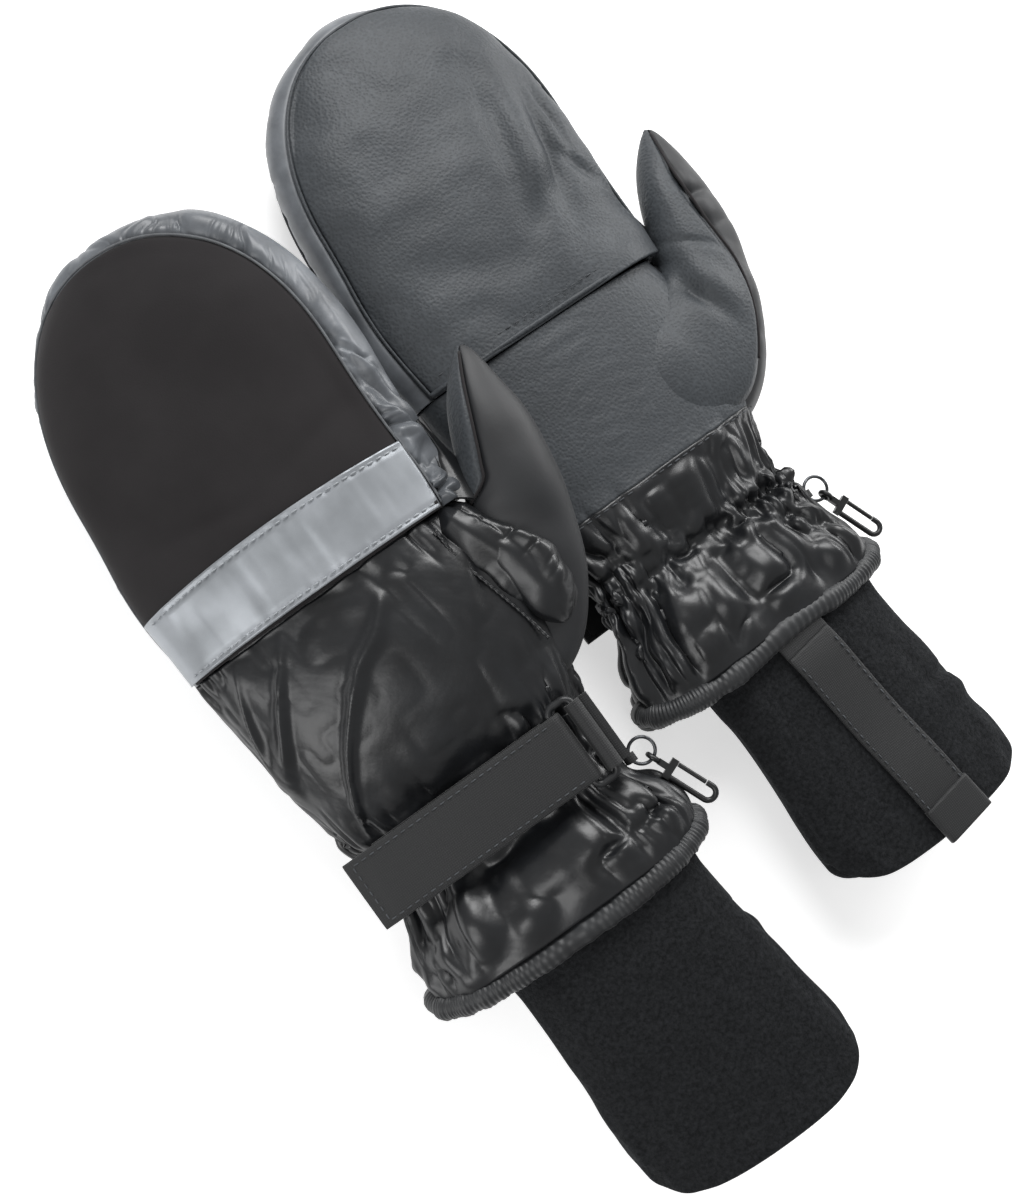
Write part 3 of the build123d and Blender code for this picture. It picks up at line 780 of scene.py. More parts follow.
def double(grid, closed):
    """Twice the rows and columns, each new point between its neighbours on a smooth cubic."""
    def halves(array, wrap):
        if wrap:
            before, after, beyond = np.roll(array, 1, 0), np.roll(array, -1, 0), np.roll(array, -2, 0)
            middle = (9 * (array + after) - before - beyond) / 16
            return np.stack([array, middle], 1).reshape((-1,) + array.shape[1:])
        padded = np.concatenate([2 * array[:1] - array[1:2], array, 2 * array[-1:] - array[-2:-1]])
        middle = (9 * (padded[1:-2] + padded[2:-1]) - padded[:-3] - padded[3:]) / 16
        woven = np.stack([array[:-1], middle], 1).reshape((-1,) + array.shape[1:])
        return np.concatenate([woven, array[-1:]])
    grid = halves(grid, closed)
    return halves(grid.swapaxes(0, 1), False).swapaxes(0, 1)


def cloth(grid, closed, hold, grow, growth, pressure, frames, most, bend):
    """Blender's cloth on a grid: it grows where asked, held where asked, and is puffed from inside."""
    rows, cols = grid.shape[:2]
    points = grid.reshape(-1, 3) * CLOTH_SCALE
    obj = new_object("cloth work", points.tolist(), grid_faces(rows, cols, closed).tolist())
    face_out(obj, grid.reshape(-1, 3).mean(0) * CLOTH_SCALE)
    steps = 8
    for label, weight in (("hold", hold), ("grow", grow)):
        group = obj.vertex_groups.new(name=label)
        levels = np.rint(np.clip(weight, 0, 1).reshape(-1) * steps).astype(int)
        for level in range(1, steps + 1):
            group.add(np.nonzero(levels == level)[0].tolist(), level / steps, "REPLACE")
    modifier = obj.modifiers.new("cloth", "CLOTH")
    set_up = modifier.settings
    set_up.quality = 6
    set_up.mass = 0.3
    set_up.tension_stiffness = set_up.compression_stiffness = 18
    set_up.shear_stiffness = 8
    set_up.bending_stiffness = bend
    set_up.air_damping = 4
    set_up.vertex_group_mass = "hold"
    set_up.vertex_group_shrink = "grow"
    set_up.shrink_min = 0.0
    set_up.shrink_max = -growth
    set_up.use_pressure = True
    set_up.uniform_pressure_force = pressure
    set_up.effector_weights.gravity = 0
    modifier.collision_settings.use_collision = False
    scene = bpy.context.scene
    for step in range(1, frames + 1):
        scene.frame_set(step)
    moved = obj.evaluated_get(bpy.context.evaluated_depsgraph_get()).data
    flat = np.empty(len(moved.vertices) * 3)
    moved.vertices.foreach_get("co", flat)
    found = flat.reshape(grid.shape) / CLOTH_SCALE
    scene.frame_set(1)
    bpy.data.objects.remove(obj)
    shift = found - grid
    size = np.linalg.norm(shift, axis=-1, keepdims=True)
    return grid + shift * np.minimum(1, most / np.maximum(size, 1e-6))


def tube_full(side):
    """The nylon and leather tube: gathered, then grown and puffed as cloth between its held seams."""
    turn, y = np.meshgrid(np.arange(TUBE_ROWS) / TUBE_ROWS, np.linspace(-47, 86.6, TUBE_COLS), indexing="ij")
    grid = push(tube_base(turn, y), tube_start(turn, y, side), closed=True)
    back = on_back(turn)
    hold = np.maximum.reduce([smooth(82, 86, y), smooth(-43, -46, y), 0.9 * under_strap(turn, y),
                              0.8 * bump(y, ELASTIC_Y, 5)])
    leather = (1 - back) * smooth(20, 26, y)
    hold = np.maximum(hold, 0.35 * leather)
    grow = np.clip(1 - 0.85 * leather, 0, 1) * smooth(87, 78, y)
    grid = cloth(grid, True, hold, grow, growth=0.045, pressure=4.0, frames=18, most=6.0, bend=30.0)
    turn, y = double(turn, True), double(y, True)
    turn[-1] = (TUBE_ROWS - 0.5) / TUBE_ROWS
    grid = double(grid, True)
    nylon = 1 - (1 - on_back(turn)) * smooth(20, 26, y)
    strap = under_strap(turn, y)
    shift = 0.5 * noise(turn * 30, y / 12, 59)
    puckers = ring_billow(turn, y / 12 + shift, 57, 56) * bump(y, ELASTIC_Y, 7) * (1 - strap)
    pleats = ring_billow(turn, y / 40 + shift, 56, 34) * (smooth(-6, -14, y) * smooth(-47, -34, y)
                                                         + smooth(-4, 4, y) * smooth(34, 14, y) * (1 - strap))
    neck = -1.6 * bump(y, ELASTIC_Y, 2.6) * (1 - strap)
    fine = (0.25 * ring_billow(turn, y / 9, 58, 44) + 1.9 * puckers + 1.3 * pleats + neck) * nylon
    grid = push(grid, fine, closed=True)
    return turn, y, grid


def tube_pieces(side):
    """The tube cut into the back of the hand, its palm, and the sleeve from heel to gauntlet."""
    turn, y, grid = tube_full(side)
    middle = (CAP_MID_X, 20, MID_Z)
    edge = 0.75 / 200
    outer, inner = 0.515, 0.985     # the seams of back and palm
    palm_side = (turn >= outer - edge) & (turn <= inner + edge)
    back_side = (turn <= outer + edge) | (turn >= inner - edge)
    back = cut_piece(f"{side}_hand_back", side, grid, back_side & (y >= 9), 1.6, middle)
    finish(back, side, "hand", "quilted_nylon", ["hand_back"])
    palm = cut_piece(f"{side}_palm", side, grid, palm_side & (y >= 22.6), 1.6, middle)
    finish(palm, side, "hand", "palm_leather", ["palm_panel"])
    sleeve = cut_piece(f"{side}_sleeve", side, grid, (y <= 9.8) | (palm_side & (y <= 23.4)), 1.6, middle)
    finish(sleeve, side, "hand", "quilted_nylon", ["wrist_elastic", "gauntlet", "palm_heel_panel"])
    column = int(np.argmin(np.abs(y[0] - 23)))
    row = (turn[:, 0] > 0.53) & (turn[:, 0] < 0.97)
    seam = grid[row][:, column] - np.array([0, 1.4, 0.1])
    seam = stitches(f"{side}_heel_stitches", side, seam, (0, 0, -1), HEM_STITCH)
    finish(seam, side, "hand", "palm_leather", look="thread")


def hinge_fold(side):
    """Nylon fold under the band that joins the back of the hand to the cap."""
    across, along = np.meshgrid(np.linspace(-0.74, 0.72, 110), np.linspace(0, 1, 26), indexing="ij")
    x = CAP_MID_X - 2.5 + across * 49
    y = KNUCKLE_Y - 9 + along * 22
    top = MID_Z + (THICK - 2.4 - MID_Z) * np.sin(np.arccos(np.clip(np.abs(across), 0, 1) ** 1.4)) ** 0.8
    z = top - 0.9 + 0.25 * noise(across * 14, along * 2, 130)
    obj = sheet_piece(f"{side}_hinge_fold", side, np.stack([x, y, z], -1), wall=0.8)
    finish(obj, side, None, "quilted_nylon")
    lower = place((CAP_MID_X, KNUCKLE_Y - 4, THICK), side)
    upper = place((CAP_MID_X, KNUCKLE_Y + 5, THICK), side)
    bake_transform(obj)


LINER_STALLS = 4
LINER_PITCH = 21.0
LINER_RADIUS = 8.5


def finger_liner(side):
    """Inner half-finger glove: a pocket round the hand that opens into four short stalls."""
    turn, y = np.meshgrid(np.arange(96) / 96, np.linspace(20, 84, 40), indexing="ij")
    angle = turn * 2 * math.pi
    x = CAP_MID_X - 2 + 44 * spow(np.cos(angle), 2 / 2.8)
    z = MID_Z + 10.5 * spow(np.sin(angle), 2 / 2.4)
    pocket = sheet_piece(f"{side}_liner_palm", side, np.stack([x, y, z], -1), closed=True, wall=1.2)
    finish(pocket, side, "hand", "fleece", ["finger_liner"])
    for k in range(LINER_STALLS):
        turn, y = np.meshgrid(np.arange(40) / 40, np.linspace(79, 104, 30), indexing="ij")
        angle = turn * 2 * math.pi
        puff = 1 + 0.05 * noise(turn * 5, y / 8, 300 + k)
        x = CAP_MID_X + (k - 1.5) * LINER_PITCH + LINER_RADIUS * np.cos(angle) * puff
        z = MID_Z + 1.5 + LINER_RADIUS * np.sin(angle) * puff
        grid = np.stack([x, y, z], -1)
        stall = sheet_piece(f"{side}_liner_stall_{k + 1}", side, grid, closed=True, wall=1.2)
        finish(stall, side, "hand", "fleece")


# ---------------------------------------------------------------- thumb
THUMB_T = [0, 0.12, 0.28, 0.45, 0.60, 0.75, 0.88, 1.0]
THUMB_X = [8, 18, 34, 50, 60.5, 66, 70.5, 76.5]
THUMB_Y = [44, 45, 48, 58.5, 73, 90, 109, 128]
THUMB_WIDE = [22, 26, 29, 23.5, 17.5, 15.2, 12.2, 8]
THUMB_PALM = [14, 17.6, 18.4, 17.5, 15, 13.5, 11, 6]
THUMB_BACK = [6, 7, 9, 11.5, 13, 13, 11, 6]
OUTER_T = [0, 0.30, 0.45, 0.59, 0.66, 0.79, 0.88, 1.0]
OUTER_SEAM = [0.93, 0.90, 0.865, 0.83, 0.795, 0.76, 0.745, 0.74]


def thumb_surface(share, t):
    """Sections carried along the thumb's middle line; share 0 outwards, 0.25 back, 0.5 inwards, 0.75 palm."""
    def middle(at):
        return np.stack([curve(at, THUMB_T, THUMB_X), curve(at, THUMB_T, THUMB_Y), MID_Z + 0 * at], -1)
    ahead = middle(np.clip(t + 0.01, 0, 1)) - middle(np.clip(t - 0.01, 0, 1))
    ahead /= np.linalg.norm(ahead, axis=-1, keepdims=True)
    out = np.stack([ahead[..., 1], -ahead[..., 0], 0 * t], -1)
    root = np.clip(t / 0.1, 0, 1)
    tip = np.sqrt(np.clip(1 - ((t - 0.80) / 0.20).clip(0, 1) ** 2.0, 0, 1)) * np.sqrt(root * (2 - root))
    angle = share * 2 * math.pi
    c, s = spow(np.cos(angle), 2 / 2.15), spow(np.sin(angle), 2 / 2.15)
    tall = np.where(s > 0, curve(t, THUMB_T, THUMB_BACK), curve(t, THUMB_T, THUMB_PALM))
    rise = np.stack([0 * t, 0 * t, s * tall * tip], -1)
    return middle(t) + out * (c * curve(t, THUMB_T, THUMB_WIDE) * tip)[..., None] + rise


def inner_seam(t):
    """Share of the thumb's inner seam, which moves to the palm side towards the root."""
    return 0.295 + 0.03 * smooth(0.9, 0.7, t) + 0.14 * smooth(0.72, 0.60, t)


def outer_seam(t):
    """Share of the thumb's outer seam, from the palm side at the tip to the edge at the root."""
    return curve(t, OUTER_T, OUTER_SEAM)


def thumb_half(start, stop, turns, seed):
    """The thumb's surface from one seam to the other, turns added to the first, with soft unevenness."""
    t = np.linspace(0, 1, 170)
    t = 1 - (1 - t) ** 1.25
    share = np.linspace(0, 1, 90)
    w, tt = np.meshgrid(share, t, indexing="ij")
    grid = thumb_surface(start(tt) + turns + (stop(tt) - start(tt) - turns) * w, tt)
    amount = 0.9 * noise(w * 4, tt * 6, seed) * smooth(0.1, 0.3, tt) * smooth(0.98, 0.85, tt)
    return w, tt, grid, amount


def thumb(side):
    """Leather pad and dark back, sewn together along the inner side and just round the outer side."""
    w, t, grid, amount = thumb_half(inner_seam, outer_seam, 0.0, 61)
    x, y = grid[..., 0], grid[..., 1]
    crease = -3.2 * bump(x + 0.30 * (y - 68), 46, 3.2) * bump(y, 70, 13)
    pinch = 1.8 * bump(x + 0.2 * (y - 66), 55, 5) * bump(y, 66, 12)
    pinch = pinch - 0.8 * bump(y + 0.85 * x, 132, 2.2) * bump(x, 58, 9)
    amount = amount + (crease + pinch) * smooth(0.35, 0.6, w) - 1.0 * (bump(w, 0, 0.03) + bump(w, 1, 0.03))
    pad = sheet_piece(f"{side}_thumb_pad", side, push(grid, amount), weld=True, out=(50, 62, MID_Z))
    finish(pad, side, "hand", "palm_leather", ["thumb_pad"])
    w, t, grid, amount = thumb_half(outer_seam, inner_seam, -1.0, 63)
    puffed = 1.1 * billow(t * 13, w * 3, 65) * smooth(0.35, 0.05, w)
    puffed = puffed * smooth(0.3, 0.45, t) * smooth(1.0, 0.9, t)
    dent = -1.5 * bump(t, 0.56, 0.05) * bump(w, 0.7, 0.25)
    amount = amount + puffed + dent - 1.0 * (bump(w, 0, 0.03) + bump(w, 1, 0.03))
    back = sheet_piece(f"{side}_thumb_back", side, push(grid, amount), weld=True, out=(50, 62, MID_Z))
    finish(back, side, "hand", "softshell", ["thumb_back"], look="thumb_fabric")
    t = np.linspace(0.36, 0.985, 120)
    for name, seam in (("inner", inner_seam), ("outer", outer_seam)):
        cord = tube_piece(f"{side}_thumb_{name}_seam", side, thumb_surface(seam(t), t), 0.5, sides=8)
        finish(cord, side, "hand", "softshell")


LOBE_T = [0, 0.25, 0.5, 0.75, 1.0]
LOBE_X = [39, 43.5, 49, 52.5, 52.5]
LOBE_Y = [88, 75, 61, 47, 33]
LOBE_WIDE = [5, 9.5, 11.8, 11.8, 9]
LOBE_TALL = [9, 11.5, 12.5, 11.5, 8]
LOBE_Z = 23.5


def lobe(side):
    """Puffed nylon fold over the thumb's root: long creases along it, gathered into the seam beside it."""
    rows = 170
    a, t = np.meshgrid(np.arange(rows) / rows, np.linspace(0, 1, 150), indexing="ij")
    mid = np.stack([curve(t, LOBE_T, LOBE_X), curve(t, LOBE_T, LOBE_Y), np.full_like(t, LOBE_Z)], -1)
    ahead = np.gradient(mid, axis=1)
    ahead /= np.linalg.norm(ahead, axis=-1, keepdims=True)
    out = np.stack([-ahead[..., 1], ahead[..., 0], 0 * t], -1)
    close = np.sqrt(np.clip(1 - ((t - 0.72) / 0.28).clip(0, 1) ** 2, 0, 1)) * np.sqrt(np.clip(t / 0.12, 0, 1))
    angle = a * 2 * math.pi
    wide, tall = curve(t, LOBE_T, LOBE_WIDE) * close, curve(t, LOBE_T, LOBE_TALL) * close
    rise = np.stack([0 * t, 0 * t, np.sin(angle) * tall], -1)
    grid = mid + out * (np.cos(angle) * wide)[..., None] + rise
    wander = 0.5 * noise(a * 4, t * 4, 73)
    creased = billow(a * 9 + wander, t * 3.2 + wander, 71)
    short = billow(t * 17 + wander, a * 6, 74) * (bump(a, 0.5, 0.07) + 0.8 * bump(a, 0.13, 0.05))
    amount = 2.7 * creased + 1.0 * short + 0.9 * noise(a * 5, t * 5, 72)
    amount = amount * np.sin(np.clip(t, 0, 1) * math.pi) ** 0.5
    grid = push(grid, amount, closed=True)
    obj = sheet_piece(f"{side}_thumb_gusset", side, grid, closed=True, wall=0, weld=True)
    finish(obj, side, "hand", "quilted_nylon", ["thumb_gusset"])
    t = np.linspace(0.05, 0.95, 80)
    x, y = curve(t, LOBE_T, LOBE_X), curve(t, LOBE_T, LOBE_Y)
    path = np.stack([x - curve(t, LOBE_T, LOBE_WIDE) * 0.90, y - 3.5, 33.5 - 3.5 * t ** 2], -1)
    seam = tube_piece(f"{side}_thumb_gusset_seam", side, path, 0.6 + 0.15 * np.sin(t * 160), sides=8)
    finish(seam, side, "hand", "quilted_nylon")


def crotch_web(side):
    """Nylon corner between the cap's edge and the thumb, drawn in folds towards the lobe's upper end."""
    down, across = np.meshgrid(np.linspace(0, 1, 110), np.linspace(0, 1, 70), indexing="ij")
    near = np.stack([49.5 - 5 * down ** 2, 116 - 28 * down], -1)
    far = np.stack([51 + 6 * down, 116 - 37 * down], -1)
    spot = near + (far - near) * across[..., None]
    z = MID_Z + 1 + 9 * down - 7 * down * across ** 2 + 1.5 * np.sin(math.pi * across)
    z = z + 2.0 * billow(across * 3.2 + down * 1.2, down * 1.6, 141) * smooth(0, 0.3, down)
    grid = np.concatenate([spot, z[..., None]], -1)
    obj = sheet_piece(f"{side}_crotch_web", side, grid, wall=1.2, out=(50, 95, 0))
    finish(obj, side, "hand", "quilted_nylon")


# ---------------------------------------------------------------- hem and fleece cuff
def hem_path(turn):
    """Middle line of the fat hem: round the end of the gauntlet, further down on the back and the palm."""
    angle = turn * 2 * math.pi
    x = -4 + 52 * spow(np.cos(angle), 2 / 2.5)
    z = MID_Z + 14.2 * spow(np.sin(angle), 2 / 2.4)
    y = HEM_Y + 3.5 - 7.5 * np.abs(np.sin(angle)) ** 0.8
    y = y + np.where(z < MID_Z, 2.9 * bump(x, 3, 19), 0)      # drawn up where the pull strap is sewn on
    return np.stack([x, y, z], -1)


def hem(side):
    """Binding rolled over a cord: fine crosswise ribs, gathered by the seam above it."""
    count, sides = 1100, 18
    turn = np.arange(count) / count
    path = hem_path(turn)
    tangent = np.roll(path, -1, 0) - np.roll(path, 1, 0)
    tangent /= np.linalg.norm(tangent, axis=1, keepdims=True)
    flat = path - np.array([-4, 0, MID_Z])
    flat[:, 1] = 0
    out = flat / np.linalg.norm(flat, axis=1, keepdims=True)
    out -= (out * tangent).sum(1, keepdims=True) * tangent
    out /= np.linalg.norm(out, axis=1, keepdims=True)
    down = np.cross(tangent, out)
    ang = np.arange(sides) / sides * 2 * math.pi
    ribs = 0.13 * np.sin(turn * 2 * math.pi * 150 + 2.5 * np.sin(turn * 60))
    lumps = 0.45 * ring_noise(turn, 0 * turn, 81, 40) + 0.25 * ring_noise(turn, 0 * turn, 82, 110)
    radius = 4.3 + lumps[:, None] + ribs[:, None] * (0.6 + 0.4 * np.cos(ang)[None])
    grid = path[:, None] + radius[..., None] * (np.cos(ang)[None, :, None] * out[:, None]
                                                + np.sin(ang)[None, :, None] * down[:, None])
    grid = np.concatenate([grid, grid[:, :1]], 1)
    obj = sheet_piece(f"{side}_hem", side, grid, closed=True, wall=0, weld=True)
    outward_faces(obj)
    finish(obj, side, "hand", "binding_nylon", ["hem_binding"])


CUFF_Y = [-144, -130, -100, -70, -40]
CUFF_SHORT = {"left": 0.0, "right": 4.5}    # the right one is tucked further in
CUFF_LEFT = [-31, -33.5, -34, -33.5, -35]
CUFF_RIGHT = [49, 50.5, 47, 43, 41]


def cuff_point(turn, y, skin=0.0):
    """A point on the flattened fleece tube, or a skin's thickness inside it."""
    angle = turn * 2 * math.pi
    left, right = curve(y, CUFF_Y, CUFF_LEFT) + skin, curve(y, CUFF_Y, CUFF_RIGHT) - skin
    tall = 12.5 - skin
    x = (left + right) / 2 + (right - left) / 2 * spow(np.cos(angle), 2 / 2.5)
    z = MID_Z + tall * spow(np.sin(angle), 2 / 2.4)
    return np.stack([x, y, z], -1)


def fleece_cuff(side):
    """Double fleece tube: down the outside, round the folded end and back up the inside."""
    wall = 3.4
    out_n, bend_n, in_n = 110, 12, 50
    rows = 260
    turn = np.arange(rows) / rows
    outness = np.abs(np.cos(turn * 2 * math.pi)) ** (2 / 2.5)
    corners = 14 * (1 - np.sqrt(1 - np.clip(outness, 0, 0.9995) ** 7))
    end = CUFF_END_Y + CUFF_SHORT[side] + corners + 2.5 * outness ** 2
    down = np.linspace(0, 1, out_n)
    y_out = HEM_Y + 9 + (end[:, None] - HEM_Y - 9) * down[None]
    outer = cuff_point(turn[:, None] + 0 * y_out, y_out)
    seed = 91 if side == "left" else 95
    a, b = turn[:, None] + 0 * y_out, y_out
    amount = 0.9 * ring_noise(a, b / 40, seed, 9) + 0.5 * ring_noise(a, b / 12, seed + 1, 30)
    amount = amount + 1.2 * smooth(-60, -50, b) * ring_noise(a, b / 14, seed + 2, 16)
    fold_y = -97 if side == "right" else -78
    crease = bump(b, fold_y + 2.5 * np.sin(a * 9), 2.0) * bump(a, 0.93, 0.09)
    amount = amount - 2.6 * crease + 1.8 * bump(b, fold_y - 6, 4) * bump(a, 0.93, 0.09)
    outer = push(outer, amount, closed=True)
    bend = np.linspace(0, math.pi, bend_n + 2)[1:-1]
    y_in = end[:, None] + (np.linspace(0, 1, in_n)[None]) * (HEM_Y - 15 - end[:, None])
    inner = cuff_point(turn[:, None] + 0 * y_in, y_in, wall)
    tip_o, tip_i = outer[:, -1], inner[:, 0]
    half = (tip_o - tip_i) / 2
    middle = (tip_o + tip_i) / 2
    ends = middle[:, None] + half[:, None] * np.cos(bend)[None, :, None]
    ends[..., 1] -= np.sin(bend)[None] * wall / 2
    grid = np.concatenate([outer, ends, inner], 1)
    obj = sheet_piece(f"{side}_fleece_cuff", side, grid, closed=True, wall=0, out=(6, -90, MID_Z))
    finish(obj, side, "hand", "fleece", ["fleece_cuff"])


# ---------------------------------------------------------------- straps
def flat_strap(name, side, grid_mid, width_dir, up, half, thick, group, slot, replaces):
    """A webbing strip with rounded edges carried along its middle line."""
    sides = 20
    ang = np.arange(sides) / sides * 2 * math.pi
    c, s = spow(np.cos(ang), 2 / 9.0), spow(np.sin(ang), 2 / 4.0)
    wide = c[None, :, None] * width_dir[:, None] * half
    grid = grid_mid[:, None] + wide + s[None, :, None] * up[:, None] * thick / 2
    points = np.concatenate([grid_mid[:1], grid.reshape(-1, 3), grid_mid[-1:]])
    n = np.arange(sides)
    m = (n + 1) % sides
    last = 1 + (len(grid_mid) - 1) * sides
    ends = [[0 * n, 1 + m, 1 + n], [0 * n + len(points) - 1, last + n, last + m]]
    ends = np.array(ends).transpose(2, 0, 1).reshape(-1, 3)
    faces = (1 + ring_quads(len(grid_mid), sides)).tolist() + ends.tolist()
    obj = new_object(f"{side}_{name}", place(points, side).tolist(), faces)
    outward_faces(obj)
    return finish(obj, side, group, slot, replaces)


STRAP_HALF = 12.5
STRAP_MID_Y = -1.0
RING_X = 29.0
RING_Z = THICK - 8.5 + 0.3 + 3.5
FOLD = 2.6            # middle of the strap's thickness, round the ring's bar
STRAP_THICK = 1.8


def strap_line(count=90):
    """Middle line of the strap's upper run, from its free end to the bar, and half way round the bar."""
    x = np.linspace(-53.0, RING_X, count)
    z = RING_Z + FOLD + 0.9 * bump(x, -12, 22) - 0.9 * smooth(-44, -54, x)
    turn = np.linspace(0, math.pi * 0.95, 16)[1:]
    bend_x = RING_X + np.sin(turn) * FOLD
    bend_z = RING_Z + np.cos(turn) * FOLD
    return np.stack([np.append(x, bend_x), np.full(count + 15, STRAP_MID_Y), np.append(z, bend_z)], -1)


def wrist_strap(side):
    """Upper run of the strap, folded round the ring's bar, with its rows of stitches."""
    line = strap_line()
    tangent = np.gradient(line, axis=0)
    tangent /= np.linalg.norm(tangent, axis=1, keepdims=True)
    across = np.broadcast_to(np.array([0.0, 1.0, 0.0]), line.shape)
    up = np.cross(tangent, across)
    flat_strap("wrist_strap", side, line, across, up, STRAP_HALF, STRAP_THICK, "strap", "webbing",
               ["wrist_strap"])
    run = line[3:88]
    top = np.array([0.0, 0.0, 1.0])
    for name, off in (("upper", STRAP_HALF - 2.0), ("lower", -STRAP_HALF + 2.0)):
        path = run + np.array([0, off, STRAP_THICK / 2])
        row = stitches(f"{side}_strap_{name}_stitches", side, path, top, STRAP_STITCH)
        finish(row, side, "strap", "webbing", look="thread")
    ends = np.linspace(-STRAP_HALF + 2, STRAP_HALF - 2, 20)
    path = np.stack([0 * ends + run[0, 0], STRAP_MID_Y + ends, 0 * ends + run[0, 2] + STRAP_THICK / 2], -1)
    row = stitches(f"{side}_strap_end_stitches", side, path, top, STRAP_STITCH)
    finish(row, side, "strap", "webbing", look="thread")


WEB_HALF = 10.0
WEB_THICK = 1.7
WEB_SKEW = math.radians(7.0)
WEB_LENGTH = {"left": 70.0, "right": 75.0}


def web_line(side):
    """Middle line of the pull strap, from the hem over the fleece, in its own skewed direction."""
    length = WEB_LENGTH[side]
    run = np.linspace(2.4, length, 70)
    start = np.array([3.0, -54.6, 0])
    ahead = np.array([math.sin(WEB_SKEW), -math.cos(WEB_SKEW), 0])
    z = MID_Z - 12.5 - 1.2 - 0.6 * np.sin(run / length * 9) - 0.8 * bump(run, 8, 8)
    line = start + run[:, None] * ahead
    line[:, 2] = z
    return line, ahead


def pull_strap(side):
    """Pull strap with its folded end and stitches, and the short root that is sewn to the hem."""
    line, ahead = web_line(side)
    across = np.broadcast_to(np.array([math.cos(WEB_SKEW), math.sin(WEB_SKEW), 0.0]), line.shape)
    tangent = np.gradient(line, axis=0)
    tangent /= np.linalg.norm(tangent, axis=1, keepdims=True)
    up = np.cross(across, tangent)
    flat_strap("pull_strap", side, line, across, up, WEB_HALF, WEB_THICK, "pull", "webbing", ["pull_strap"])
    tab = line[-1] + np.linspace(-1, 13, 16)[:, None] * ahead
    tab[:, 2] = line[-1, 2] - 0.6
    top = np.array([0.0, 0.0, 1.0])
    flat_strap("pull_strap_tab", side, tab, across[:16], np.broadcast_to(top, tab.shape), WEB_HALF + 0.5, 3.2,
               "pull", "webbing", ["pull_strap_tab"])
    root = line[0] - np.linspace(8.0, 0.1, 12)[:, None] * ahead       # sewn under the hem, and stays with it
    flat_strap("pull_root", side, root, across[:12], np.broadcast_to(top, root.shape), WEB_HALF, WEB_THICK,
               "hand", "webbing", [])
    for name, off in (("a", WEB_HALF - 1.5), ("b", -WEB_HALF + 1.5)):
        path = line[4:] + across[0] * off
        path[:, 2] -= 0.9
        row = stitches(f"{side}_pull_stitches_{name}", side, path, (0, 0, -1), STRAP_STITCH)
        finish(row, side, "pull", "webbing", look="thread")


# ---------------------------------------------------------------- hardware kept from the frame
KEPT = {"strap_under_layer": "webbing", "loop_patch": "loop_pile", "hook_patch": "hook_pile",
        "strap_ring": "black_plastic", "ring_tab": "webbing", "hook_tab": "webbing",
        "split_ring": "ring_steel", "spring_hook": "black_steel", "hook_gate": "black_steel"}


def kept_nodes(side):
    """Materials for the flat parts and hardware that are shown as they came."""
    for node, look in KEPT.items():
        obj = frame["nodes"][f"{side}_{node}"]
        obj.data.materials.clear()
        obj.data.materials.append(MATERIALS[look])


# ---------------------------------------------------------------- stage, light and camera
def stage():
    """A pale floor that glows a little, so that it stays light to its edges."""
    mesh = bpy.data.meshes.new("floor")
    size = 4.0
    corners = [(-size, -size, 0), (size, -size, 0), (size, size, 0), (-size, size, 0)]
    mesh.from_pydata(corners, [], [(0, 1, 2, 3)])
    floor = bpy.data.objects.new("floor", mesh)
    bpy.context.collection.objects.link(floor)
    material, _, surface = new_material("pale floor", Roughness=0.9)
    surface.inputs["Base Color"].default_value = linear("#f4f4f4")
    surface.inputs["Emission Color"].default_value = linear("#ffffff")
    surface.inputs["Emission Strength"].default_value = 0.55
    floor.data.materials.append(material)


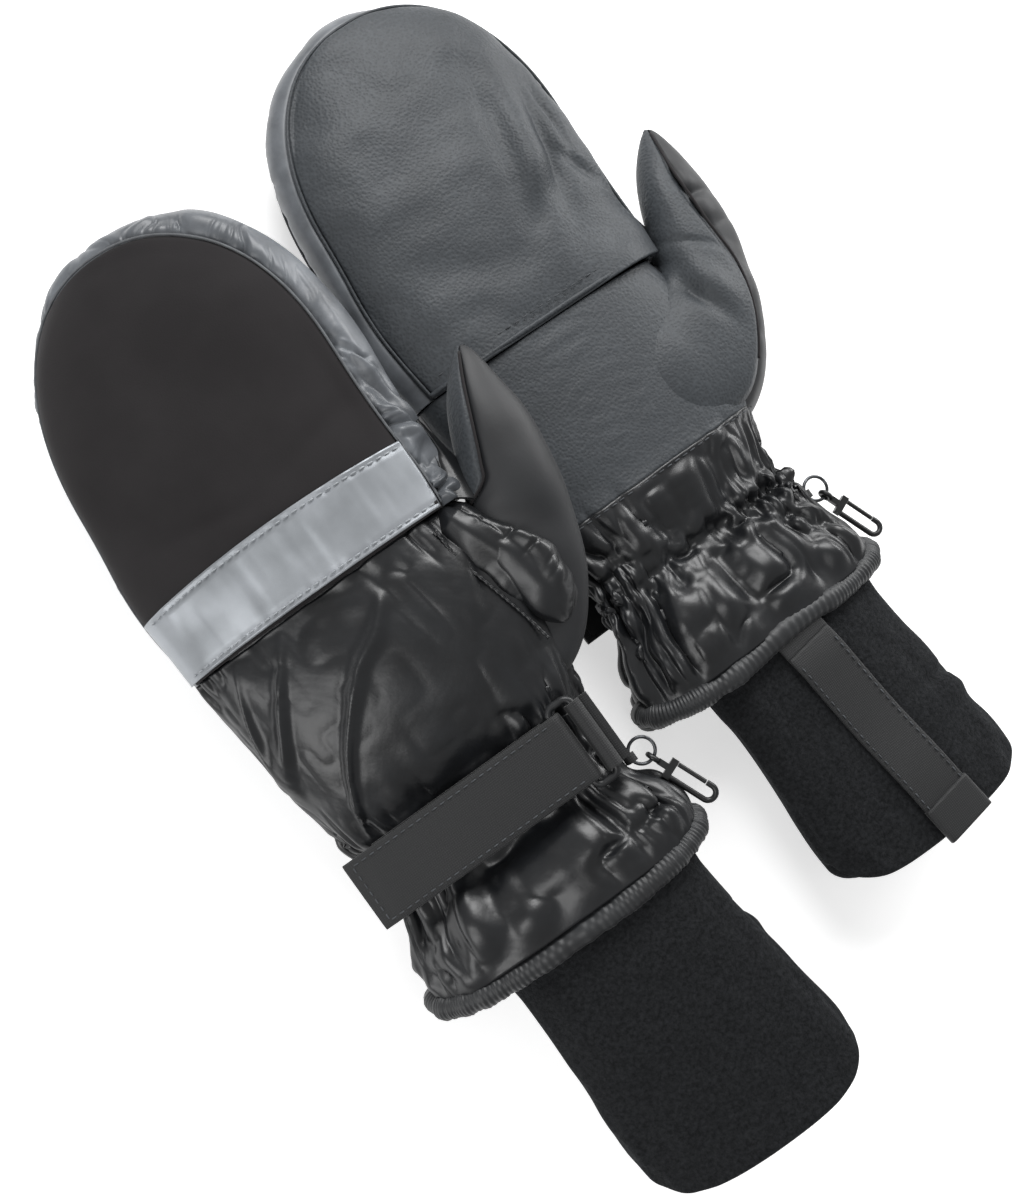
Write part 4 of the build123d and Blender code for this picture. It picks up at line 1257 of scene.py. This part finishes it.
def area_light(name, spot, size, power, size_y):
    """A rectangular light that points at the middle of the pair."""
    light = bpy.data.lights.new(name, "AREA")
    light.shape = "RECTANGLE"
    light.size = size
    light.size_y = size_y
    light.energy = power
    obj = bpy.data.objects.new(name, light)
    bpy.context.collection.objects.link(obj)
    obj.location = spot
    obj.rotation_euler = (-Vector(spot)).to_track_quat("-Z", "Y").to_euler()


def lights():
    """White surroundings, a key light, a fill and a rim."""
    world = bpy.data.worlds.new("studio")
    bpy.context.scene.world = world
    world.use_nodes = True
    world.node_tree.nodes["Background"].inputs[0].default_value = linear("#ffffff")
    world.node_tree.nodes["Background"].inputs[1].default_value = 0.38
    area_light("key", (0.35, 0.75, 0.75), 0.55, 9, 0.55)
    area_light("fill", (-0.8, -0.1, 0.7), 0.4, 3.5, 0.7)
    area_light("rim", (0.8, 0.2, 0.35), 0.5, 4, 0.25)
    bpy.context.scene.view_settings.view_transform = "Standard"


CAMERA_SPOT = (-0.1714, -0.0098, 0.568)
CAMERA_AIM = (-0.0200, -0.0054, 0.0)
CAMERA_ROLL = 52.68
CAMERA_LENS = 58.32
SENSOR = 36.0


def camera():
    """The main view: from above, turned about its own line of sight."""
    data = bpy.data.cameras.new("camera")
    data.sensor_fit = "HORIZONTAL"
    data.sensor_width = SENSOR
    data.lens = CAMERA_LENS
    data.clip_start = 0.01
    obj = bpy.data.objects.new("camera", data)
    bpy.context.collection.objects.link(obj)
    look = Vector(CAMERA_AIM) - Vector(CAMERA_SPOT)
    turn = look.to_track_quat("-Z", "Y").to_matrix().to_4x4()
    roll = Matrix.Rotation(math.radians(CAMERA_ROLL), 4, "Z")
    obj.matrix_world = Matrix.Translation(CAMERA_SPOT) @ turn @ roll
    bpy.context.scene.camera = obj


def build(side):
    """Every piece of one mitten."""
    cap_back(side)
    cap_gusset(side)
    cap_palm(side)
    cap_pipings(side)
    cap_band(side)
    cap_hem(side)
    cap_lining(side)
    tube_pieces(side)
    finger_liner(side)
    hinge_fold(side)
    thumb(side)
    lobe(side)
    crotch_web(side)
    hem(side)
    fleece_cuff(side)
    wrist_strap(side)
    pull_strap(side)
    kept_nodes(side)


for each in SIDES:
    build(each)
stage()
lights()
camera()
